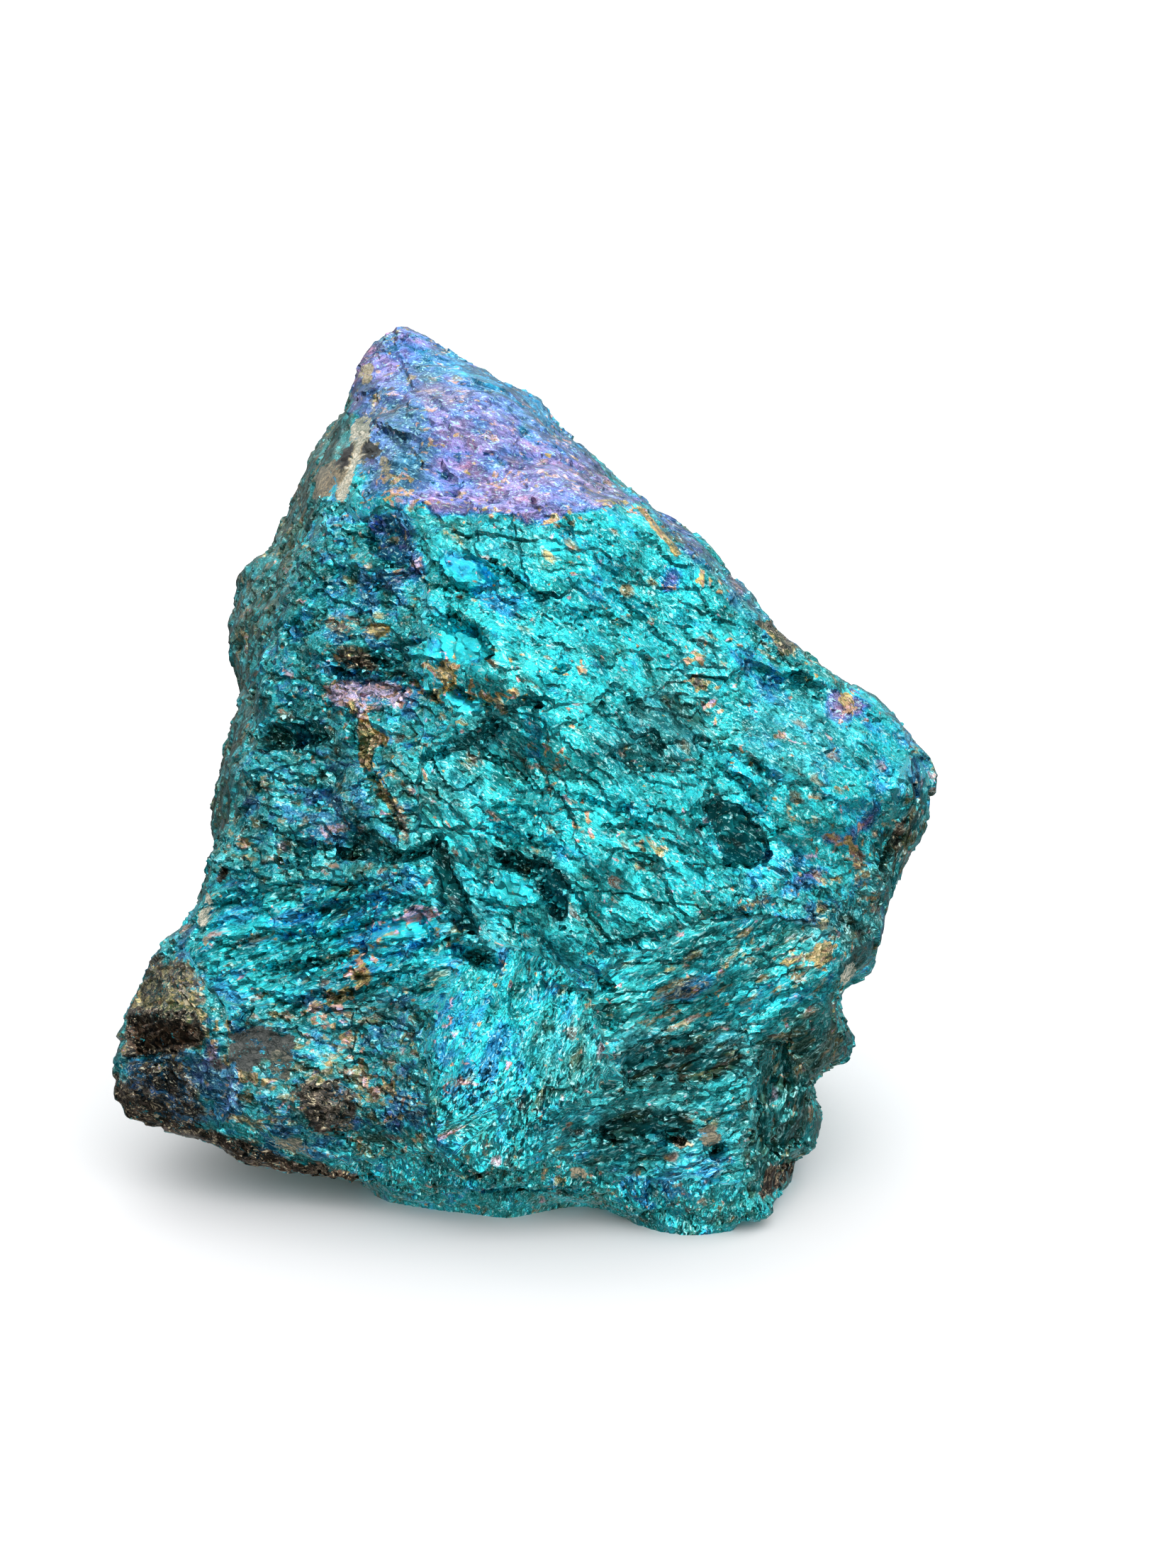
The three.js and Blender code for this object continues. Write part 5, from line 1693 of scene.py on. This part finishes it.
    def site(self, points: Array, normals: Array, measured: Array) -> Site:
        """Works out where points lie.

        Args:
            points: the surface's points, in millimetres.
            normals: their outward directions.
            measured: the places at which the face measures are taken, in millimetres.

        Returns:
            The points with their face measures. Their front is 1 on the fracture face and the cap, and falls
            to 0 on the stone's other sides.
        """
        outward = normals @ self.face.axes()[2]
        depth = self.face.measure(points)[:, 2]
        front = smooth_between(-0.05, 0.25, outward) * smooth_between(-20.0, -16.0, depth)
        return Site(points, normals, front, *self.face.measure(measured).T)

    def relief(self, points: Array, normals: Array) -> Array:
        """Works out how far the break stands out at each point.

        Args:
            points: the softened surface, in millimetres.
            normals: its outward directions.

        Returns:
            Heights in millimetres.
        """
        here = self.site(points, normals, self.ragged(points))
        height = np.zeros(len(points))
        for feature in FEATURES:
            height += here.front * feature.height(here.across, here.up)
        for dent in DENTS:
            height += dent.height(here.across, here.up, here.out)
        rough = 1.0 - 0.85 * self.smooth(here)
        height += rough * self.flakes(points, self.owners(points, here.front))
        height += 0.05 * rough * (self.noise.ridged(points / 0.9) - 0.6)
        height += 0.16 * self.noise.patches(points, length=5.0, shift=9.1, octaves=2)
        return height

    def ragged(self, points: Array) -> Array:
        """Returns the points shifted a little by chance, which breaks up the outlines drawn on them."""
        _, offset = self.noise.cells(points / self.chip)
        return self.noise.warp(points / self.bend, self.bend_share) * self.bend + self.chip_shift * offset

    def owners(self, points: Array, front: Array) -> Array:
        """Finds the field of flakes that each point belongs to.

        Args:
            points: places in millimetres.
            front: how far each lies on the stone's front.

        Returns:
            The field's number in FIELDS for each point.
        """
        across, up, _ = self.face.measure(points).T
        wander = 0.35 * self.noise.patches(points, length=5.0, shift=3.3, octaves=2)
        scores = []
        for number, grain in enumerate(GRAINS):
            away = from_middle(across, up, grain.middle, grain.reach)
            scores.append(front * (1.3 - away) + wander * (number % 3 - 1))
        score_elsewhere = 0.3
        scores.append(np.full(len(points), score_elsewhere))
        return np.argmax(np.stack(scores), axis=0)

    def flakes(self, points: Array, owner: Array) -> Array:
        """Works out the height of the flakes, each field's running its own way.

        Args:
            points: places in millimetres.
            owner: the number of each point's field.

        Returns:
            Heights in millimetres.
        """
        height = np.zeros(len(points))
        for number, grain in enumerate(FIELDS):
            mine = owner == number
            if mine.any():
                height[mine] = self.flake_field(points[mine], grain)
        return height

    def drawn_in(self, points: Array, grain: Grain, stretch: float) -> Array:
        """Returns the points drawn together along a grain's run, which stretches what is laid on them."""
        along = self.face.direction(grain.run)
        return points - (1.0 - 1.0 / stretch) * (points @ along)[:, None] * along

    def flake_field(self, points: Array, grain: Grain) -> Array:
        """Works out the height of one field of flakes, in three sizes.

        Args:
            points: places in millimetres.
            grain: the field.

        Returns:
            Heights in millimetres.
        """
        lip = self.face.direction(grain.run - 90.0)
        last = self.noise.SIZE
        height = np.zeros(len(points))
        for size, slope, step in (
            (grain.flake, grain.slope * 1.0, grain.step * 0.6),
            (grain.flake * 0.42, grain.slope * 1.5, grain.step * 1.4),
            (self.crumb, grain.slope * 1.2, grain.step * 1.1),
        ):
            bent = self.noise.warp(points / (1.4 * size), 0.5) * 1.4
            key, offset = self.noise.cells(self.drawn_in(bent, grain, grain.stretch))
            tilt = grain.bias * lip + (1.0 - grain.bias) * self.noise.slopes[(key * 7 + 11) % last]
            lift = self.noise.slopes[(key * 3 + 5) % last, 0]
            height += size * (slope * np.einsum("ij,ij->i", offset, tilt) + step * lift)
        return height

    def thin_out(self, stone: bpy.types.Object) -> None:
        """Merges faces where the break is flat until the triangle budget is met.

        Args:
            stone: the broken stone.
        """
        thin = stone.modifiers.new("thin out", "DECIMATE")
        count = self.triangle_count(stone.data)
        thin.ratio = min(1.0, self.triangles / count)
        self.apply_modifiers(stone)
        log.info("fine surface: %d triangles thinned to %d", count, self.triangle_count(stone.data))

    @staticmethod
    def triangle_count(mesh: bpy.types.Mesh) -> int:
        """Returns how many triangles a mesh's faces make."""
        return sum(len(polygon.vertices) - 2 for polygon in mesh.polygons)

    def store_tarnish(self, mesh: bpy.types.Mesh) -> None:
        """Stores on the surface what its finish reads there, one number for each point and name.

        Args:
            mesh: the thinned stone's mesh.
        """
        points, normals = self.read(mesh, "co") / MM, self.read(mesh, "normal")
        here = self.site(points, normals, points)
        ragged = 0.7 * self.noise.patches(points, length=1.3, shift=40.0, octaves=3)
        owner = self.owners(points, here.front)
        zones = np.array([(g.film, g.variety, g.bronzed, g.dim, g.crackle, g.catch) for g in FIELDS])
        base, variety, bronzed, dim, crackle, catch = self.spread(mesh, zones[owner], self.zone_spread).T
        flank = smooth_between(-7.0, -9.0, here.out) * smooth_between(-12.0, -15.0, here.across)
        slabs = self.smooth(here)
        for stain in FILM_STAINS:
            variety = np.maximum(variety, 0.45 * here.front * stain.share(here.across, here.up, ragged))
        # darkened patches, partly duller tarnish and partly painted shade in hollows
        for stain in DULL_AND_SHADED:
            dim = np.maximum(dim, stain.tone * here.front * stain.share(here.across, here.up, ragged))
        bronze, tone = self.bronze(here, ragged)
        rock, rock_tone = self.bare_rock(here, ragged)
        # cavity and shade carry the painted shade of crevices and hollows; dim carries the darkened patches,
        # which are partly painted shade
        stored = {
            "catch": catch,
            "variety": variety,
            "bronzed": np.maximum(bronzed, 0.8 * flank),
            "dim": np.maximum(dim * (1.0 - slabs), 0.7 * flank),
            "film": self.film(here, base + flank * (self.flank_film - base), ragged),
            "bronze": bronze,
            "tone": tone,
            "rock": rock,
            "rock_tone": rock_tone,
            "smooth": np.maximum(slabs, np.maximum(1.0 - crackle, 0.6 * flank)),
            "cavity": self.cavity(mesh, here) * (1.0 - 0.8 * slabs),
            "shade": self.shade(self.site(points, normals, self.ragged(points))),
        }
        for name, values in stored.items():
            numbers = mesh.attributes.new(name, "FLOAT", "POINT")
            numbers.data.foreach_set("value", values.astype(np.float32))
        self.store_grain_place(mesh, points, owner)

    def store_grain_place(self, mesh: bpy.types.Mesh, points: Array, owner: Array) -> None:
        """Stores where the finish reads its noise, so that its grain follows the run of the flakes.

        Args:
            mesh: the thinned stone's mesh.
            points: its points in millimetres.
            owner: the number of each point's field of flakes.
        """
        place = points.copy()
        for number, grain in enumerate(FIELDS):
            mine = owner == number
            place[mine] = self.drawn_in(points[mine], grain, 0.7 + 0.65 * grain.stretch)
        places = mesh.attributes.new("grain_place", "FLOAT_VECTOR", "POINT")
        places.data.foreach_set("vector", place.ravel())

    @staticmethod
    def shade(broken: Site) -> Array:
        """Works out how far painted shade darkens each point in the hollows of the plates that fall
        downwards.

        Args:
            broken: where the points lie, measured with ragged outlines.

        Returns:
            One value from 0 to 1 for each point.
        """
        shade = np.zeros(len(broken.points))
        for feature in FEATURES:
            if isinstance(feature, Plate):
                shade = np.maximum(shade, broken.front * feature.shade(broken.across, broken.up))
        return shade

    def cavity(self, mesh: bpy.types.Mesh, here: Site) -> Array:
        """Works out how deep each point lies below the surface round it, near by and further off.

        Args:
            mesh: the thinned stone's mesh.
            here: where its points lie.

        Returns:
            One value from 0 to 1 for each point.
        """
        # the finish paints shade into the colour where a point lies deep below the surface round it
        cavity = np.zeros(len(here.points))
        for times, full_depth, weight in ((4, 0.07, 0.4), (30, 0.3, 0.6)):
            round_about = self.spread(mesh, here.points, times)
            depth = np.einsum("ij,ij->i", round_about - here.points, here.normals)
            cavity += np.clip(depth / full_depth, 0.0, 1.0) * weight
        return cavity

    def film(self, here: Site, base: Array, ragged: Array) -> Array:
        """Works out the thickness of the tarnish film.

        Args:
            here: where the points lie.
            base: the thickness that each point's field gives.
            ragged: how far outlines are moved by chance at each point.

        Returns:
            The thickness at each point, as a tone of Film.
        """
        broad = self.noise.patches(here.points, length=9.0, shift=5.0, octaves=3)
        patchy = self.noise.patches(here.points, length=3.0, shift=25.0, octaves=3)
        film = base + (0.03 + 0.37 * (1.0 - here.front)) * broad + 0.05 * patchy
        for stain in (*CAP_FILM, *FILM_STAINS):
            share = here.front * stain.share(here.across, here.up, ragged)
            film += share * (float(stain.tone) + 0.04 * patchy - film)
        return film

    def bronze(self, here: Site, ragged: Array) -> tuple[Array, Array]:
        """Works out where the brown and golden tarnish lies.

        Args:
            here: where the points lie.
            ragged: how far outlines are moved by chance at each point.

        Returns:
            How far that tarnish takes over at each point, and its tone.
        """
        patchy = self.noise.patches(here.points, length=4.0, shift=85.0, octaves=4)
        share = (1.0 - here.front) * 0.7 * smooth_between(0.25, 0.6, patchy)
        tone = 0.35 + 0.5 * self.noise.patches(here.points, length=6.0, shift=95.0, octaves=2)
        for stain in BRONZE_STAINS:
            own = 0.95 * here.front * stain.share(here.across, here.up, 0.4 * ragged - 0.03)
            tone = np.where(own > 0.02, float(stain.tone), tone)
            share = np.maximum(share, own)
        for dust in DUST:
            chance = self.noise.patches(here.points, length=dust.grain, shift=61.0, octaves=2)
            own = here.front * dust.share(here.across, here.up, chance)
            tone = np.where(own > share, float(dust.tone) + 0.25 * chance, tone)
            share = np.maximum(share, own)
        return share, np.clip(tone, 0.0, 1.0)

    @staticmethod
    def bare_rock(here: Site, ragged: Array) -> tuple[Array, Array]:
        """Works out where bare rock lies.

        Args:
            here: where the points lie.
            ragged: how far outlines are moved by chance at each point.

        Returns:
            How far the rock takes over at each point, and its tone.
        """
        rock, tone = np.zeros(len(here.across)), np.zeros(len(here.across))
        for patch in GANGUE:
            own = patch.share(here.across, here.up, here.out, ragged)
            tone = np.where(own > 0.05, float(patch.tone), tone)
            rock = np.maximum(rock, own)
        return rock, tone

    @staticmethod
    def smooth(here: Site) -> Array:
        """Finds the smooth slabs of the face.

        Args:
            here: where the points lie.

        Returns:
            1 on the slabs and 0 elsewhere, one value for each point.
        """
        smooth = np.zeros(len(here.across))
        for patch in SMOOTH:
            slab = smooth_between(-0.2, 0.3, patch.depth(here.across, here.up))
            smooth = np.maximum(smooth, here.front * slab)
        return smooth


# --- the studio ---


@dataclass(frozen=True)
class Softbox:
    """A soft light that looks at the stone, with its distance and size in metres and its power in watts."""

    name: str
    azimuth: float
    elevation: float
    distance: float
    size: Point2
    power: float

    def hang(self, middle: Vector) -> None:
        """Hangs the light, its azimuth counted in degrees from the front towards +X.

        Args:
            middle: what it looks at, in metres.
        """
        light = bpy.data.lights.new(self.name, "AREA")
        light.shape = "RECTANGLE"
        light.size, light.size_y = self.size
        light.energy = self.power
        lamp = bpy.data.objects.new(self.name, light)
        a, e = math.radians(self.azimuth), math.radians(self.elevation)
        back = Vector((math.sin(a) * math.cos(e), -math.cos(a) * math.cos(e), math.sin(e)))
        lamp.location = middle + back * self.distance
        lamp.rotation_mode = "QUATERNION"
        lamp.rotation_quaternion = (-back).to_track_quat("-Z", "Y")
        bpy.context.scene.collection.objects.link(lamp)


@dataclass(frozen=True)
class Studio:
    """A plain pale floor, soft lights, a soft room and the camera."""

    face: BreakFace = BreakFace()
    distance: float = 250.0
    lens: float = 101.72
    sensor: float = 36.0
    nearest: float = 0.01
    furthest: float = 20.0
    floor_size: float = 4.0
    floor_colour: Colour = (0.86, 0.86, 0.87)
    floor_roughness: float = 0.9
    lights: tuple[Softbox, ...] = (
        Softbox("key_light", azimuth=8, elevation=58, distance=0.7, size=(0.9, 0.7), power=2.2),
        Softbox("back_light", azimuth=185, elevation=50, distance=0.8, size=(0.9, 0.6), power=2.5),
    )
    room_tones: tuple[tuple[float, Colour], ...] = (
        (0.0, (0.60, 0.60, 0.59)), (0.07, (0.55, 0.55, 0.55)), (0.17, (0.36, 0.36, 0.36)),
        (0.30, (0.22, 0.22, 0.22)), (0.48, (0.20, 0.20, 0.205)), (0.55, (0.55, 0.555, 0.56)),
        (0.63, (0.98, 0.99, 1.0)), (0.74, (1.12, 1.12, 1.12)), (1.0, (1.0, 1.0, 1.0)),
    )
    side_light: float = 0.25

    def build(self) -> None:
        """Makes the floor, the lights, the room's light and the camera."""
        self.lay_floor()
        for light in self.lights:
            light.hang(Vector(self.face.middle) * MM)
        self.light_room()
        self.stand_camera()

    def lay_floor(self) -> None:
        """Lays the floor under the stone."""
        half = self.floor_size / 2.0
        corners = [(-half, -half, 0), (half, -half, 0), (half, half, 0), (-half, half, 0)]
        mesh = bpy.data.meshes.new("studio_floor")
        mesh.from_pydata(corners, [], [(0, 1, 2, 3)])
        floor = bpy.data.objects.new("studio_floor", mesh)
        bpy.context.scene.collection.objects.link(floor)
        material = bpy.data.materials.new("pale_paper")
        material.use_nodes = True
        graph = Graph(material.node_tree)
        looks = {"Base Color": self.floor_colour, "Roughness": self.floor_roughness}
        shader = graph.node("ShaderNodeBsdfPrincipled", {}, **looks)
        graph.node("ShaderNodeOutputMaterial", {}, Surface=shader)
        mesh.materials.append(material)
        floor.visible_glossy = False

    def light_room(self) -> None:
        """Makes the room's light: bright above, dim at the floor's edge and a little dimmer towards -X."""
        world = bpy.data.worlds.new("studio_room")
        world.use_nodes = True
        bpy.context.scene.world = world
        graph = Graph(world.node_tree)
        way = graph.node("ShaderNodeTexCoord", {}, out="Generated")
        up = graph.node("ShaderNodeSeparateXYZ", {}, way, out="Z")
        tone = graph.ramp(self.room_tones, up * 0.5 + 0.5)
        shader = graph.node("ShaderNodeBackground", {}, tone, up.sibling("X") * self.side_light + 1.0)
        graph.node("ShaderNodeOutputWorld", {}, Surface=shader)

    def stand_camera(self) -> None:
        """Stands the camera square to the fracture face."""
        camera = bpy.data.cameras.new("camera")
        camera.lens, camera.sensor_width = self.lens, self.sensor
        camera.clip_start, camera.clip_end = self.nearest, self.furthest
        holder = bpy.data.objects.new("camera", camera)
        out = Vector(self.face.axes()[2])
        holder.location = (Vector(self.face.middle) + out * self.distance) * MM
        holder.rotation_mode = "QUATERNION"
        holder.rotation_quaternion = (-out).to_track_quat("-Z", "Y")
        bpy.context.scene.collection.objects.link(holder)
        bpy.context.scene.camera = holder


def main() -> None:
    """Builds the stone and the studio."""
    bpy.context.scene.view_settings.view_transform = "Standard"
    lump = OreLump()
    stone = lump.build()
    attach(stone, "root")
    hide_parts(lump.node)
    log.info("%s: %d faces", stone.name, len(stone.data.polygons))
    Studio().build()
    log.info("studio built")


if __name__ == "__main__":
    main()
